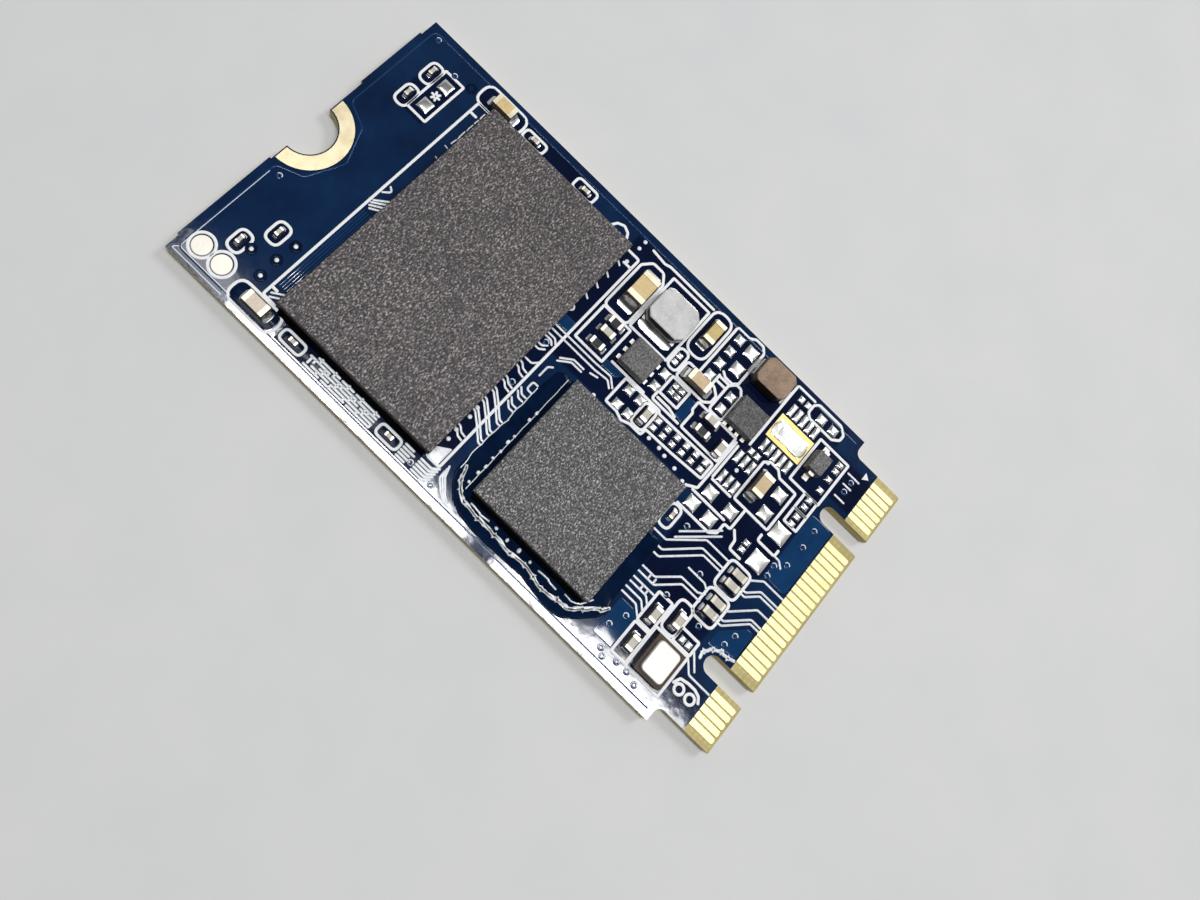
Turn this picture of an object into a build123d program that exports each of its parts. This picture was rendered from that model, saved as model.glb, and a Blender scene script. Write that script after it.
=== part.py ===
from build123d import *
import os

# Bare solid state drive module with a card-edge tongue, 22 by 42 mm, in millimetres.
# X runs across the board with contact 1 on the +X side, Y from the card edge to the screw notch, Z up.
# The origin is the middle of the board's underside, level with the surface that it lies on.

# Board, zone by zone from the card edge to the screw notch
board_width = 22.0
board_thickness = 0.8
tongue_length = 4.0
circuit_length = 7.0
controller_length = 9.0
chip_gap = 3.2
flash_length = 12.0
screw_end_length = 6.8
shoulder_step = 1.075
shoulder_fillet = 0.5
bevel_length = 0.2
bevel_depth = 0.15

# Stubs of the panel that the board was broken from, on the screw edge
stub_height = 0.13
right_stub_x = 7.1
right_stub_width = 5.2
left_stub_x = -6.5
left_stub_width = 7.0

# Card-edge contacts and the two key slots
finger_pitch = 0.5
finger_width = 0.38
finger_thickness = 0.04
finger_corner = 0.08
finger_edge = 0.675
finger_tip_gap = 0.15
bare_edge_length = 2.0
key_width = 1.2
key_depth = 3.5
key_keepout = 1.0
upper_key_steps = 7.25
lower_key_steps = 30.75

# Bare gold lands, flush with the mask
gold_thickness = 0.035
notch_radius = 1.75
ring_pullback = 0.08
ring_width = 0.92
test_pad_radius = 0.6
test_pad_side_gap = 1.5
test_pad_end_gap = 1.3
test_pad_pitch = 1.58

# Ball-grid packages
package_bevel = 0.04
flash_width = 18.0
flash_thickness = 0.85
flash_ball_height = 0.2
flash_ball_radius = 0.23
flash_ball_pitch = 1.0
flash_ball_columns = 6
flash_ball_rows = 11
flash_field_spacing = 8.0
controller_width = 9.0
controller_thickness = 0.7
controller_side_gap = 2.25
controller_ball_height = 0.2
controller_ball_radius = 0.2
controller_ball_pitch = 0.8
controller_ball_count = 10
controller_inner_count = 4
ball_sides = 5
corner_mark_radius = 0.28
corner_mark_depth = 0.03
corner_mark_inset = 1.4

# Power inductor, a drum core with its winding between two flanges
drum_width = 2.5
drum_length = 2.9
drum_corner = 0.45
drum_flange = 0.28
drum_window = 0.41
drum_post_radius = 0.8
drum_edge = 0.08
winding_inset = 0.12
winding_corner = 0.9
drum_terminal_width = 0.55
drum_terminal_length = 2.6
drum_terminal_thickness = 0.08
drum_solder_toe = 0.55

# Filter inductor, a moulded block with a folded terminal on each end
block_width = 2.0
block_length = 2.5
block_height = 1.0
block_corner = 0.34
block_edge = 0.06
block_terminal_width = 1.3
block_terminal_thickness = 0.06
block_terminal_foot = 0.55
block_terminal_climb = 0.5
block_solder_toe = 0.25

# Regulators, flat leadless packages
regulator_size = 2.0
regulator_height = 0.75
regulator_edge = 0.04
regulator_lead_thickness = 0.1
regulator_lead_inside = 0.35
regulator_lead_toe = 0.22
regulator_dot_radius = 0.13
regulator_dot_depth = 0.02
regulator_dot_inset = 0.42
regulator_a_pitch = 0.65
regulator_a_leads_per_side = 3
regulator_a_lead_width = 0.32
regulator_b_pitch = 0.5
regulator_b_leads_per_side = 4
regulator_b_lead_width = 0.26

# Supply diode, a moulded body on two bent leads
diode_length = 1.5
diode_width = 1.1
diode_height = 0.75
diode_lift = 0.1
diode_draft = 6
diode_lead_width = 0.4
diode_lead_thickness = 0.12
diode_lead_level = 0.4
diode_lead_reach = 0.22
diode_lead_foot = 0.35

# Crystal, a metal lid on a ceramic base
crystal_length = 2.5
crystal_width = 2.0
crystal_base_height = 0.35
crystal_base_corner = 0.15
crystal_lid_inset = 0.2
crystal_lid_height = 0.25
crystal_lid_corner = 0.3
crystal_lid_edge = 0.06

# Chip capacitors and resistors: length, width, height, plated end and solder toe of each size
chip0805_length = 2.0
chip0805_width = 1.25
chip0805_height = 1.0
chip0805_cap = 0.4
chip0805_toe = 0.6
chip0603_length = 1.6
chip0603_width = 0.8
chip0603_height = 0.8
chip0603_cap = 0.32
chip0603_toe = 0.35
chip0402_length = 1.0
chip0402_width = 0.5
chip0402_height = 0.5
chip0402_cap = 0.24
chip0402_toe = 0.2
resistor_height = 0.35
chip0201_length = 0.6
chip0201_width = 0.3
chip0201_height = 0.3
chip0201_cap = 0.16
chip0201_toe = 0.14
cap_wall = 0.02
cap_bevel = 0.03
solder_toe_height = 0.04
solder_climb = 0.6

# Solder left on empty footprints
land_height = 0.08
land_draft = 30
small_land_length = 0.3
small_land_width = 0.35
middle_land_size = 0.52
large_land_size = 0.92
giant_land_size = 1.22
row_land_length = 0.8
row_land_width = 0.27
six_row_pitch = 0.52
six_row_spacing = 1.66
ten_row_pitch = 0.5
ten_row_spacing = 3.0
thermal_land_width = 1.85
thermal_land_length = 2.73
thermal_solder_width = 1.3
thermal_solder_length = 2.45

# Parts stand on this grid, in steps from the edge that their zone is measured from
place_grid = 0.1
side_part_gap = 0.8

# Levels and edges that follow from the sizes above
board_length = (tongue_length + circuit_length + controller_length
                + chip_gap + flash_length + screw_end_length)
tongue_width = board_width - 2 * shoulder_step
tongue_end = -board_length / 2
shoulder_y = tongue_end + tongue_length
controller_near_y = shoulder_y + circuit_length
controller_y = controller_near_y + controller_length / 2
flash_near_y = controller_near_y + controller_length + chip_gap
flash_y = flash_near_y + flash_length / 2
screw_end = board_length / 2
mask_edge_y = tongue_end + bare_edge_length
controller_x = -board_width / 2 + controller_side_gap + controller_width / 2
side_part_x = flash_width / 2 + side_part_gap

# Contact rows: the underside's contacts sit half a step along from the top's
contact_steps = int((tongue_width - 2 * finger_edge) / finger_pitch + 0.001)
first_contact_x = contact_steps * finger_pitch / 2
key_positions = [first_contact_x - steps * finger_pitch for steps in (upper_key_steps, lower_key_steps)]


def contact_row(first_x, count):
    """Contact positions along X, leaving out those that a key slot takes."""
    row = [first_x - step * finger_pitch for step in range(count)]
    return [x for x in row if min(abs(x - key) for key in key_positions) > key_keepout]


top_contacts = contact_row(first_contact_x, contact_steps + 1)
bottom_contacts = contact_row(first_contact_x - finger_pitch / 2, contact_steps)


def place(datum_y, x_steps, y_steps, turn=0):
    """A spot on the board's top face, in grid steps from the middle line and from a zone's edge."""
    return Location((x_steps * place_grid, datum_y + y_steps * place_grid, board_thickness), (0, 0, turn))


def beside_flash(side, y_steps):
    """A spot in the strip beside the flash memory, for a part that stands along the board."""
    return Location((side * side_part_x, flash_y + y_steps * place_grid, board_thickness), (0, 0, 90))


def both_ends(spots, length):
    """The two end faces of each part of this length, with local X pointing outwards."""
    ends = (Location((length / 2, 0, 0)), Location((-length / 2, 0, 0), (0, 0, 180)))
    return [spot * end for spot in spots for end in ends]


# Where the parts stand
drum_spot = place(flash_near_y, 76, -48)
block_spot = place(flash_near_y, 94, -121, 90)
regulator_a_spot = place(flash_near_y, 41, -52)
regulator_b_spot = place(flash_near_y, 63, -124, 90)
diode_spot = place(flash_near_y, 75, -176)
crystal_spot = place(controller_near_y, -82, -54)
input_capacitor_spot = place(flash_near_y, 75, -23)
capacitor_0603_spots = {
    "flash_capacitor_left": beside_flash(-1, 68),
    "flash_capacitor_right": beside_flash(1, 57),
    "output_capacitor": place(flash_near_y, 88, -74),
    "core_capacitor": place(flash_near_y, 58, -87, 90),
    "rail_capacitor": place(flash_near_y, 38, -157),
}
resistor_spots = {
    "feedback_resistor_a": place(flash_near_y, 30, -26, 90),
    "feedback_resistor_b": place(flash_near_y, 48, -26, 90),
    "pullup_resistor": place(flash_near_y, 37, -109, 90),
}
coupling_capacitor_spots = {
    "coupling_capacitor_a": place(controller_near_y, -41, -59, 90),
    "coupling_capacitor_b": place(controller_near_y, -33.5, -59, 90),
    "coupling_capacitor_c": place(controller_near_y, -20, -59, 90),
    "coupling_capacitor_d": place(controller_near_y, -12.5, -59, 90),
}
small_capacitor_spots = [
    place(flash_near_y, 39.5, -26, 90),
    place(flash_near_y, 46, -109, 90),
    place(flash_near_y, 19, -77),
    place(flash_near_y, 37, -124),
    place(controller_near_y, -85, -35),
    place(controller_near_y, -64, -35),
    place(controller_near_y, -57, -48),
]
tiny_capacitor_spots = [
    place(screw_end, -77.5, -25),
    place(screw_end, -58.5, -36.5),
    place(screw_end, 61.5, -23),
    place(screw_end, 83, -23),
    place(controller_near_y, -13.5, -6),
    beside_flash(-1, 39),
    beside_flash(-1, -37),
    beside_flash(1, 29.5),
    beside_flash(1, -15),
]

# Empty two-pad footprints: a spot and the spacing of its pads in grid steps
small_sites = [
    (place(flash_near_y, 60.5, -68.5), 5),
    (place(flash_near_y, 44.6, -79.5), 5),
    (place(flash_near_y, 44.6, -84.5), 5),
    (place(flash_near_y, 51.2, -143, 90), 5),
    (place(flash_near_y, 100.5, -147, 90), 5.5),
    (place(flash_near_y, 4, -173.7), 5),
    (place(flash_near_y, 38.4, -187.5), 5.7),
    (place(flash_near_y, 52, -187.5), 5.5),
    (place(flash_near_y, 69.3, -188.7), 9.2),
    (place(flash_near_y, 83.7, -189), 5),
    (place(controller_near_y, -63, -60, 90), 5),
]
small_column_rows = 6
small_column_pitch = 7.6
small_column_lean = 0.4
small_sites += [
    (place(flash_near_y, 20 + row * small_column_lean, -85.6 - row * small_column_pitch), 5.5)
    for row in range(small_column_rows)
]
middle_sites = [
    (place(flash_near_y, 42.5, -69.5), 10.4),
    (place(flash_near_y, 18, -60), 11.8),
    (place(flash_near_y, 18, -69), 11.5),
    (place(flash_near_y, 73.6, -90.2), 10.4),
    (place(flash_near_y, 94.7, -90.2), 10.4),
    (place(flash_near_y, 62.4, -109.5), 10),
    (place(flash_near_y, 100, -167, 90), 10),
]
large_sites = [
    (place(screw_end, 72.9, -35.7), 18.3),
    (place(flash_near_y, 91.4, -101), 14.8),
    (place(flash_near_y, 0.6, -140, 90), 14.1),
    (place(flash_near_y, 13.2, -145.8, 90), 16.5),
    (place(flash_near_y, 35.8, -171), 15.3),
]
giant_sites = [(place(flash_near_y, 14.3, -185.6), 22.3)]
six_row_spot = place(flash_near_y, 34.7, -141.7)
ten_row_spot = place(flash_near_y, 75.5, -154)


def flat(spot):
    """The same spot, at the level of a sketch drawn on the board's top face."""
    return Location((0, 0, -board_thickness)) * spot


def site_pads(sites):
    """The two pads of each empty footprint, as spots in a sketch on the board's top face."""
    return [flat(end) for spot, steps in sites for end in both_ends([spot], steps * place_grid)]


# Outlines of the gold lands, which both the board's pockets and the lands themselves take
with BuildSketch() as ring_shape:
    with Locations((0, screw_end)):
        Circle(notch_radius + ring_pullback + ring_width)
        Circle(notch_radius + ring_pullback, mode=Mode.SUBTRACT)
    with Locations((0, screw_end - ring_pullback)):
        Rectangle(board_width, board_length, align=(Align.CENTER, Align.MAX), mode=Mode.INTERSECT)

with BuildSketch() as test_pad_shape:
    with Locations((test_pad_side_gap - board_width / 2, screw_end - test_pad_end_gap - test_pad_pitch / 2)):
        with GridLocations(0, test_pad_pitch, 1, 2):
            Circle(test_pad_radius)

with BuildSketch() as thermal_shape:
    with Locations(flat(ten_row_spot)):
        Rectangle(thermal_land_width, thermal_land_length)

# Board: outline with shoulders, stubs, screw notch and keys, then the bare edge and the pockets
with BuildPart() as circuit_board:
    with BuildSketch() as outline:
        with Locations((0, shoulder_y)):
            Rectangle(board_width, screw_end - shoulder_y, align=(Align.CENTER, Align.MIN))
            Rectangle(tongue_width, tongue_length, align=(Align.CENTER, Align.MAX))
        inner_corners = outline.vertices().filter_by_position(
            Axis.X, -tongue_width / 2, tongue_width / 2).filter_by_position(Axis.Y, shoulder_y, shoulder_y)
        fillet(inner_corners, shoulder_fillet)
        for stub_x, stub_width in ((right_stub_x, right_stub_width), (left_stub_x, left_stub_width)):
            with Locations((stub_x, screw_end)):
                Rectangle(stub_width, stub_height, align=(Align.CENTER, Align.MIN))
        with Locations((0, screw_end)):
            Circle(notch_radius, mode=Mode.SUBTRACT)
        with Locations(*[(key, tongue_end + key_depth - key_width / 2) for key in key_positions]):
            Circle(key_width / 2, mode=Mode.SUBTRACT)
            Rectangle(key_width, key_depth, align=(Align.CENTER, Align.MAX), mode=Mode.SUBTRACT)
    extrude(amount=board_thickness)
    for level, depth in ((board_thickness, -finger_thickness), (0, finger_thickness)):
        with BuildSketch(Plane.XY.offset(level)):
            with Locations((0, tongue_end)):
                Rectangle(board_width, bare_edge_length, align=(Align.CENTER, Align.MIN))
        extrude(amount=depth, mode=Mode.SUBTRACT)
    for level, depth in ((board_thickness - finger_thickness, -bevel_depth), (finger_thickness, bevel_depth)):
        with BuildSketch(Plane.YZ):
            with BuildLine():
                Polyline((tongue_end, level), (tongue_end + bevel_length, level),
                         (tongue_end, level + depth), close=True)
            make_face()
        extrude(amount=board_width / 2, both=True, mode=Mode.SUBTRACT)
    with BuildSketch(Plane.XY.offset(board_thickness)):
        add(ring_shape.sketch)
        add(test_pad_shape.sketch)
        add(thermal_shape.sketch)
    extrude(amount=-gold_thickness, mode=Mode.SUBTRACT)
    with BuildSketch():
        add(ring_shape.sketch)
    extrude(amount=gold_thickness, mode=Mode.SUBTRACT)


def contacts(row, level):
    """One row of gold contacts, with the corners taken off at the tips."""
    with BuildPart() as fingers:
        with BuildSketch(Plane.XY.offset(level)) as finger_shape:
            with Locations(*[(x, mask_edge_y) for x in row]):
                Rectangle(finger_width, bare_edge_length - finger_tip_gap - bevel_length / 2,
                          align=(Align.CENTER, Align.MAX))
            chamfer(finger_shape.vertices().group_by(Axis.Y)[0], finger_corner)
        extrude(amount=finger_thickness)
    return fingers.part


def gold_land(shape, level):
    """A flat gold land of this outline, filling its pocket."""
    with BuildPart() as land:
        with BuildSketch(Plane.XY.offset(level)):
            add(shape.sketch)
        extrude(amount=gold_thickness)
    return land.part


# Flash memory: a moulded block over two fields of solder balls
with BuildPart() as flash_package:
    with BuildSketch(Plane.XY.offset(board_thickness + flash_ball_height)):
        with Locations((0, flash_y)):
            Rectangle(flash_width, flash_length)
    extrude(amount=flash_thickness)
    chamfer(flash_package.faces().sort_by(Axis.Z)[-1].edges(), package_bevel)

with BuildPart() as flash_solder_balls:
    with BuildSketch(Plane.XY.offset(board_thickness)):
        with Locations((-flash_field_spacing / 2, flash_y), (flash_field_spacing / 2, flash_y)):
            with GridLocations(flash_ball_pitch, flash_ball_pitch, flash_ball_columns, flash_ball_rows):
                RegularPolygon(flash_ball_radius, ball_sides)
    extrude(amount=flash_ball_height)

# Controller: a moulded block with a round corner mark, over two outer rows of solder balls and an inner field
with BuildPart() as controller_package:
    with BuildSketch(Plane.XY.offset(board_thickness + controller_ball_height)):
        with Locations((controller_x, controller_y)):
            Rectangle(controller_width, controller_length)
    extrude(amount=controller_thickness)
    chamfer(controller_package.faces().sort_by(Axis.Z)[-1].edges(), package_bevel)
    with BuildSketch(Plane.XY.offset(board_thickness + controller_ball_height + controller_thickness)):
        with Locations((controller_x - controller_width / 2 + corner_mark_inset,
                        controller_near_y + corner_mark_inset)):
            Circle(corner_mark_radius)
    extrude(amount=-corner_mark_depth, mode=Mode.SUBTRACT)

with BuildPart() as controller_solder_balls:
    with BuildSketch(Plane.XY.offset(board_thickness)):
        with Locations((controller_x, controller_y)):
            with GridLocations(controller_ball_pitch, controller_ball_pitch,
                               controller_ball_count, controller_ball_count):
                RegularPolygon(controller_ball_radius, ball_sides)
            inner_clearing = (controller_inner_count + 2) * controller_ball_pitch
            Rectangle(inner_clearing, inner_clearing, mode=Mode.SUBTRACT)
            with GridLocations(controller_ball_pitch, controller_ball_pitch,
                               controller_inner_count, controller_inner_count):
                RegularPolygon(controller_ball_radius, ball_sides)
    extrude(amount=controller_ball_height)

# Power inductor: two flanges on a round post, the winding between them, a terminal under each end
drum_plane = Plane(drum_spot).offset(drum_terminal_thickness)

with BuildPart() as power_inductor_core:
    for level in (0, drum_flange + drum_window):
        with BuildSketch(drum_plane.offset(level)) as flange:
            Rectangle(drum_width, drum_length)
            chamfer(flange.vertices(), drum_corner)
        extrude(amount=drum_flange)
    with BuildSketch(drum_plane.offset(drum_flange)):
        Circle(drum_post_radius)
    extrude(amount=drum_window)
    chamfer(power_inductor_core.faces().sort_by(Axis.Z)[-1].edges(), drum_edge)

with BuildPart() as power_inductor_winding:
    with BuildSketch(drum_plane.offset(drum_flange)):
        RectangleRounded(drum_width - 2 * winding_inset, drum_length - 2 * winding_inset, winding_corner)
        Circle(drum_post_radius, mode=Mode.SUBTRACT)
    extrude(amount=drum_window)

with BuildPart() as power_inductor_terminals:
    with BuildSketch(Plane(drum_spot)):
        with GridLocations(drum_width - drum_terminal_width, 0, 2, 1):
            Rectangle(drum_terminal_width, drum_terminal_length)
    extrude(amount=drum_terminal_thickness)

# Filter inductor: a block with its corners taken off, between two folded terminals
with BuildPart() as filter_inductor_body:
    with BuildSketch(Plane(block_spot).offset(block_terminal_thickness)) as block_shape:
        Rectangle(block_length - 2 * block_terminal_thickness, block_width)
        chamfer(block_shape.vertices(), block_corner)
    extrude(amount=block_height - block_terminal_thickness)
    chamfer(filter_inductor_body.faces().sort_by(Axis.Z)[-1].edges(), block_edge)

with BuildPart() as block_terminal:
    with BuildSketch(Plane.XZ):
        with BuildLine():
            Polyline((0, 0), (0, block_terminal_climb), (-block_terminal_thickness, block_terminal_climb),
                     (-block_terminal_thickness, block_terminal_thickness),
                     (-block_terminal_foot, block_terminal_thickness), (-block_terminal_foot, 0), close=True)
        make_face()
    extrude(amount=block_terminal_width / 2, both=True)

with BuildPart() as filter_inductor_terminals:
    with Locations(*both_ends([block_spot], block_length)):
        add(block_terminal.part)


def regulator_body(spot):
    """A square moulded body with a dot at lead 1."""
    with BuildPart() as body:
        with BuildSketch(Plane(spot).offset(regulator_lead_thickness)):
            Rectangle(regulator_size, regulator_size)
        extrude(amount=regulator_height - regulator_lead_thickness)
        chamfer(body.faces().sort_by(Axis.Z)[-1].edges(), regulator_edge)
        dot_offset = regulator_size / 2 - regulator_dot_inset
        with BuildSketch(Plane(spot).offset(regulator_height)):
            with Locations((-dot_offset, -dot_offset)):
                Circle(regulator_dot_radius)
        extrude(amount=-regulator_dot_depth, mode=Mode.SUBTRACT)
    return body.part


def regulator_leads(spot, pitch, count, width):
    """Flat leads along two sides, under the body and out past its edge."""
    with BuildPart() as leads:
        with BuildSketch(Plane(spot)):
            with GridLocations(pitch, regulator_size + regulator_lead_toe - regulator_lead_inside, count, 2):
                Rectangle(width, regulator_lead_inside + regulator_lead_toe)
        extrude(amount=regulator_lead_thickness)
    return leads.part


# Supply diode: a drafted body, and a lead that leaves each end and bends down to the board
with BuildPart() as diode_body:
    with BuildSketch(Plane(diode_spot).offset(diode_lift)):
        Rectangle(diode_length, diode_width)
    extrude(amount=diode_height - diode_lift, taper=diode_draft)

diode_lead_top = diode_lead_level + diode_lead_thickness
with BuildPart() as diode_lead:
    with BuildSketch(Plane.XZ):
        with BuildLine():
            Polyline((0, 0), (diode_lead_reach + diode_lead_foot, 0),
                     (diode_lead_reach + diode_lead_foot, diode_lead_thickness),
                     (diode_lead_reach, diode_lead_thickness), (diode_lead_reach, diode_lead_top),
                     (0, diode_lead_top), close=True)
        make_face()
    extrude(amount=diode_lead_width / 2, both=True)

with BuildPart() as diode_leads:
    with Locations(*both_ends([diode_spot], diode_length)):
        add(diode_lead.part)

# Crystal: a rounded metal lid on a ceramic base
with BuildPart() as crystal_base:
    with BuildSketch(Plane(crystal_spot)):
        RectangleRounded(crystal_length, crystal_width, crystal_base_corner)
    extrude(amount=crystal_base_height)

with BuildPart() as crystal_lid:
    with BuildSketch(Plane(crystal_spot).offset(crystal_base_height)):
        RectangleRounded(crystal_length - 2 * crystal_lid_inset, crystal_width - 2 * crystal_lid_inset,
                         crystal_lid_corner)
    extrude(amount=crystal_lid_height)
    chamfer(crystal_lid.faces().sort_by(Axis.Z)[-1].edges(), crystal_lid_edge)


def chip_body(spots, length, width, height, cap):
    """The ceramic bodies between the plated ends, a plating's thickness smaller all round."""
    with BuildPart() as bodies:
        with Locations(*[spot * Location((0, 0, cap_wall)) for spot in spots]):
            Box(length - 2 * cap, width - 2 * cap_wall, height - 2 * cap_wall,
                align=(Align.CENTER, Align.CENTER, Align.MIN))
    return bodies.part


def chip_ends(spots, length, width, height, cap):
    """The plated ends, with their outer edges eased."""
    with BuildPart() as end_cap:
        Box(cap, width, height, align=(Align.MAX, Align.CENTER, Align.MIN))
        chamfer(end_cap.faces().sort_by(Axis.X)[-1].edges(), cap_bevel)
    with BuildPart() as ends:
        with Locations(*both_ends(spots, length)):
            add(end_cap.part)
    return ends.part


def solder_wedge(toe, width, height):
    """A solder fillet that runs out along the board from a part's end face."""
    with BuildPart() as wedge:
        with BuildSketch(Plane.XZ):
            with BuildLine():
                Polyline((0, 0), (toe, 0), (toe, solder_toe_height), (0, height * solder_climb), close=True)
            make_face()
        extrude(amount=width / 2, both=True)
    return wedge.part


# Solder fillets at the ends of every part that has them
spots_0402 = [*coupling_capacitor_spots.values(), *small_capacitor_spots]
soldered_ends = [
    (both_ends([drum_spot], drum_width),
     solder_wedge(drum_solder_toe, drum_terminal_length, drum_terminal_thickness + drum_flange)),
    (both_ends([block_spot], block_length),
     solder_wedge(block_solder_toe, block_terminal_width, block_terminal_climb)),
    (both_ends([input_capacitor_spot], chip0805_length),
     solder_wedge(chip0805_toe, chip0805_width, chip0805_height)),
    (both_ends(capacitor_0603_spots.values(), chip0603_length),
     solder_wedge(chip0603_toe, chip0603_width, chip0603_height)),
    (both_ends(spots_0402, chip0402_length),
     solder_wedge(chip0402_toe, chip0402_width, chip0402_height)),
    (both_ends(resistor_spots.values(), chip0402_length),
     solder_wedge(chip0402_toe, chip0402_width, resistor_height)),
    (both_ends(tiny_capacitor_spots, chip0201_length),
     solder_wedge(chip0201_toe, chip0201_width, chip0201_height)),
]

with BuildPart() as solder_fillets:
    for ends, wedge_piece in soldered_ends:
        with Locations(*ends):
            add(wedge_piece)

# Solder pillows on the empty footprints, and a puddle on the thermal land
with BuildPart() as bare_solder_lands:
    with BuildSketch(Plane.XY.offset(board_thickness)):
        with Locations(*site_pads(small_sites)):
            Rectangle(small_land_length, small_land_width)
        with Locations(*site_pads(middle_sites)):
            Rectangle(middle_land_size, middle_land_size)
        with Locations(*site_pads(large_sites)):
            Rectangle(large_land_size, large_land_size)
        with Locations(*site_pads(giant_sites)):
            Rectangle(giant_land_size, giant_land_size)
        with Locations(flat(six_row_spot)):
            with GridLocations(six_row_spacing, six_row_pitch, 2, 3):
                Rectangle(row_land_length, row_land_width)
        with Locations(flat(ten_row_spot)):
            with GridLocations(ten_row_spacing, ten_row_pitch, 2, 5):
                Rectangle(row_land_length, row_land_width)
            Rectangle(thermal_solder_width, thermal_solder_length)
    extrude(amount=land_height, taper=land_draft)

# Every finished piece under its own name
gold_level = board_thickness - gold_thickness
pieces = {
    "circuit_board": circuit_board.part,
    "edge_contacts_top": contacts(top_contacts, board_thickness - finger_thickness),
    "edge_contacts_bottom": contacts(bottom_contacts, 0),
    "screw_ring_top": gold_land(ring_shape, gold_level),
    "screw_ring_bottom": gold_land(ring_shape, 0),
    "test_pads": gold_land(test_pad_shape, gold_level),
    "thermal_land": gold_land(thermal_shape, gold_level),
    "flash_package": flash_package.part,
    "flash_solder_balls": flash_solder_balls.part,
    "controller_package": controller_package.part,
    "controller_solder_balls": controller_solder_balls.part,
    "power_inductor_core": power_inductor_core.part,
    "power_inductor_winding": power_inductor_winding.part,
    "power_inductor_terminals": power_inductor_terminals.part,
    "filter_inductor_body": filter_inductor_body.part,
    "filter_inductor_terminals": filter_inductor_terminals.part,
    "regulator_a_body": regulator_body(regulator_a_spot),
    "regulator_a_leads": regulator_leads(regulator_a_spot, regulator_a_pitch,
                                         regulator_a_leads_per_side, regulator_a_lead_width),
    "regulator_b_body": regulator_body(regulator_b_spot),
    "regulator_b_leads": regulator_leads(regulator_b_spot, regulator_b_pitch,
                                         regulator_b_leads_per_side, regulator_b_lead_width),
    "diode_body": diode_body.part,
    "diode_leads": diode_leads.part,
    "crystal_base": crystal_base.part,
    "crystal_lid": crystal_lid.part,
    "solder_fillets": solder_fillets.part,
    "bare_solder_lands": bare_solder_lands.part,
}

# Chips: those of their own node, then the like ones that share a node
chip_groups = [("input_capacitor", [input_capacitor_spot],
                (chip0805_length, chip0805_width, chip0805_height, chip0805_cap))]
size_0603 = (chip0603_length, chip0603_width, chip0603_height, chip0603_cap)
size_0402 = (chip0402_length, chip0402_width, chip0402_height, chip0402_cap)
size_resistor = (chip0402_length, chip0402_width, resistor_height, chip0402_cap)
size_0201 = (chip0201_length, chip0201_width, chip0201_height, chip0201_cap)
chip_groups += [(name, [spot], size_0603) for name, spot in capacitor_0603_spots.items()]
chip_groups += [(name, [spot], size_resistor) for name, spot in resistor_spots.items()]
chip_groups += [(name, [spot], size_0402) for name, spot in coupling_capacitor_spots.items()]
chip_groups += [("small_capacitor", small_capacitor_spots, size_0402)]
chip_groups += [("tiny_capacitor", tiny_capacitor_spots, size_0201)]
for name, spots, size in chip_groups:
    pieces[name + "_body"] = chip_body(spots, *size)
    pieces[name + "_ends"] = chip_ends(spots, *size)

os.makedirs("parts", exist_ok=True)
for name, piece in pieces.items():
    piece.label = name
    export_step(piece, f"parts/{name}.step")
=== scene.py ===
import math

import bmesh
import bpy
from mathutils import Euler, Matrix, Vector


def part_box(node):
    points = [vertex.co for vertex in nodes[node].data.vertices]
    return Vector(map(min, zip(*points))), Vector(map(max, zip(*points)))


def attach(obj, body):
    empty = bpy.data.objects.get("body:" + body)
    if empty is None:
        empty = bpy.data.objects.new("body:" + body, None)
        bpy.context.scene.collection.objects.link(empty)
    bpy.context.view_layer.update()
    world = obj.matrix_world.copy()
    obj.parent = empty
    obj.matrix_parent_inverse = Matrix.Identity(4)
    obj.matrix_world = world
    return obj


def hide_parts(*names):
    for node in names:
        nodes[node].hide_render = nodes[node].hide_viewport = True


# Looks of a bare solid state drive module. Drawing tables are in millimetres, the scene in metres.
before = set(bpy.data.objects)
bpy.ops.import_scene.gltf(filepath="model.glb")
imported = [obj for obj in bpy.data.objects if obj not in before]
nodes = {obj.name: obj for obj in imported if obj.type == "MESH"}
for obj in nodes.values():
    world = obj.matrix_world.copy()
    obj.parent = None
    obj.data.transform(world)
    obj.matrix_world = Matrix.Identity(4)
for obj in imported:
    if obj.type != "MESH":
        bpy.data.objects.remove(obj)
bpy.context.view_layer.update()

MM = 0.001
BOARD_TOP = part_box("circuit_board")[1].z / MM
MASK_EDGE_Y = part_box("edge_contacts_top")[1].y / MM


# Node helpers

NOISE_RANGE = (0.3, 0.7)  # where nearly all of a noise lies
MIX_INPUTS = (0, 6, 7)  # the factor and the two colours of a mix node
MIX_RESULT = 2


def start_material(name, **sockets):
    """A new material whose shader takes these constant values."""
    material = bpy.data.materials.new(name)
    material.use_nodes = True
    shader = material.node_tree.nodes["Principled BSDF"]
    for socket, value in sockets.items():
        shader.inputs[socket.replace("_", " ")].default_value = value
    return material, material.node_tree, shader


def feed(tree, socket, value):
    """Gives a socket a constant or another node's output."""
    if isinstance(value, bpy.types.NodeSocket):
        tree.links.new(value, socket)
    else:
        socket.default_value = value


def add_node(tree, kind, sockets=(), **settings):
    """A node with these settings and socket values."""
    node = tree.nodes.new(kind)
    for name, value in settings.items():
        setattr(node, name, value)
    for socket, value in dict(sockets).items():
        feed(tree, node.inputs[socket], value)
    return node


def math_node(tree, operation, *values):
    """The result of an operation on constants or outputs."""
    node = add_node(tree, "ShaderNodeMath", operation=operation)
    for socket, value in zip(node.inputs, values):
        feed(tree, socket, value)
    return node.outputs["Value"]


def link(tree, output, shader, socket):
    """Joins an output to a socket of the shader."""
    tree.links.new(output, shader.inputs[socket])


def place_of(tree):
    """Position on the object, in metres."""
    return add_node(tree, "ShaderNodeTexCoord").outputs["Object"]


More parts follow.
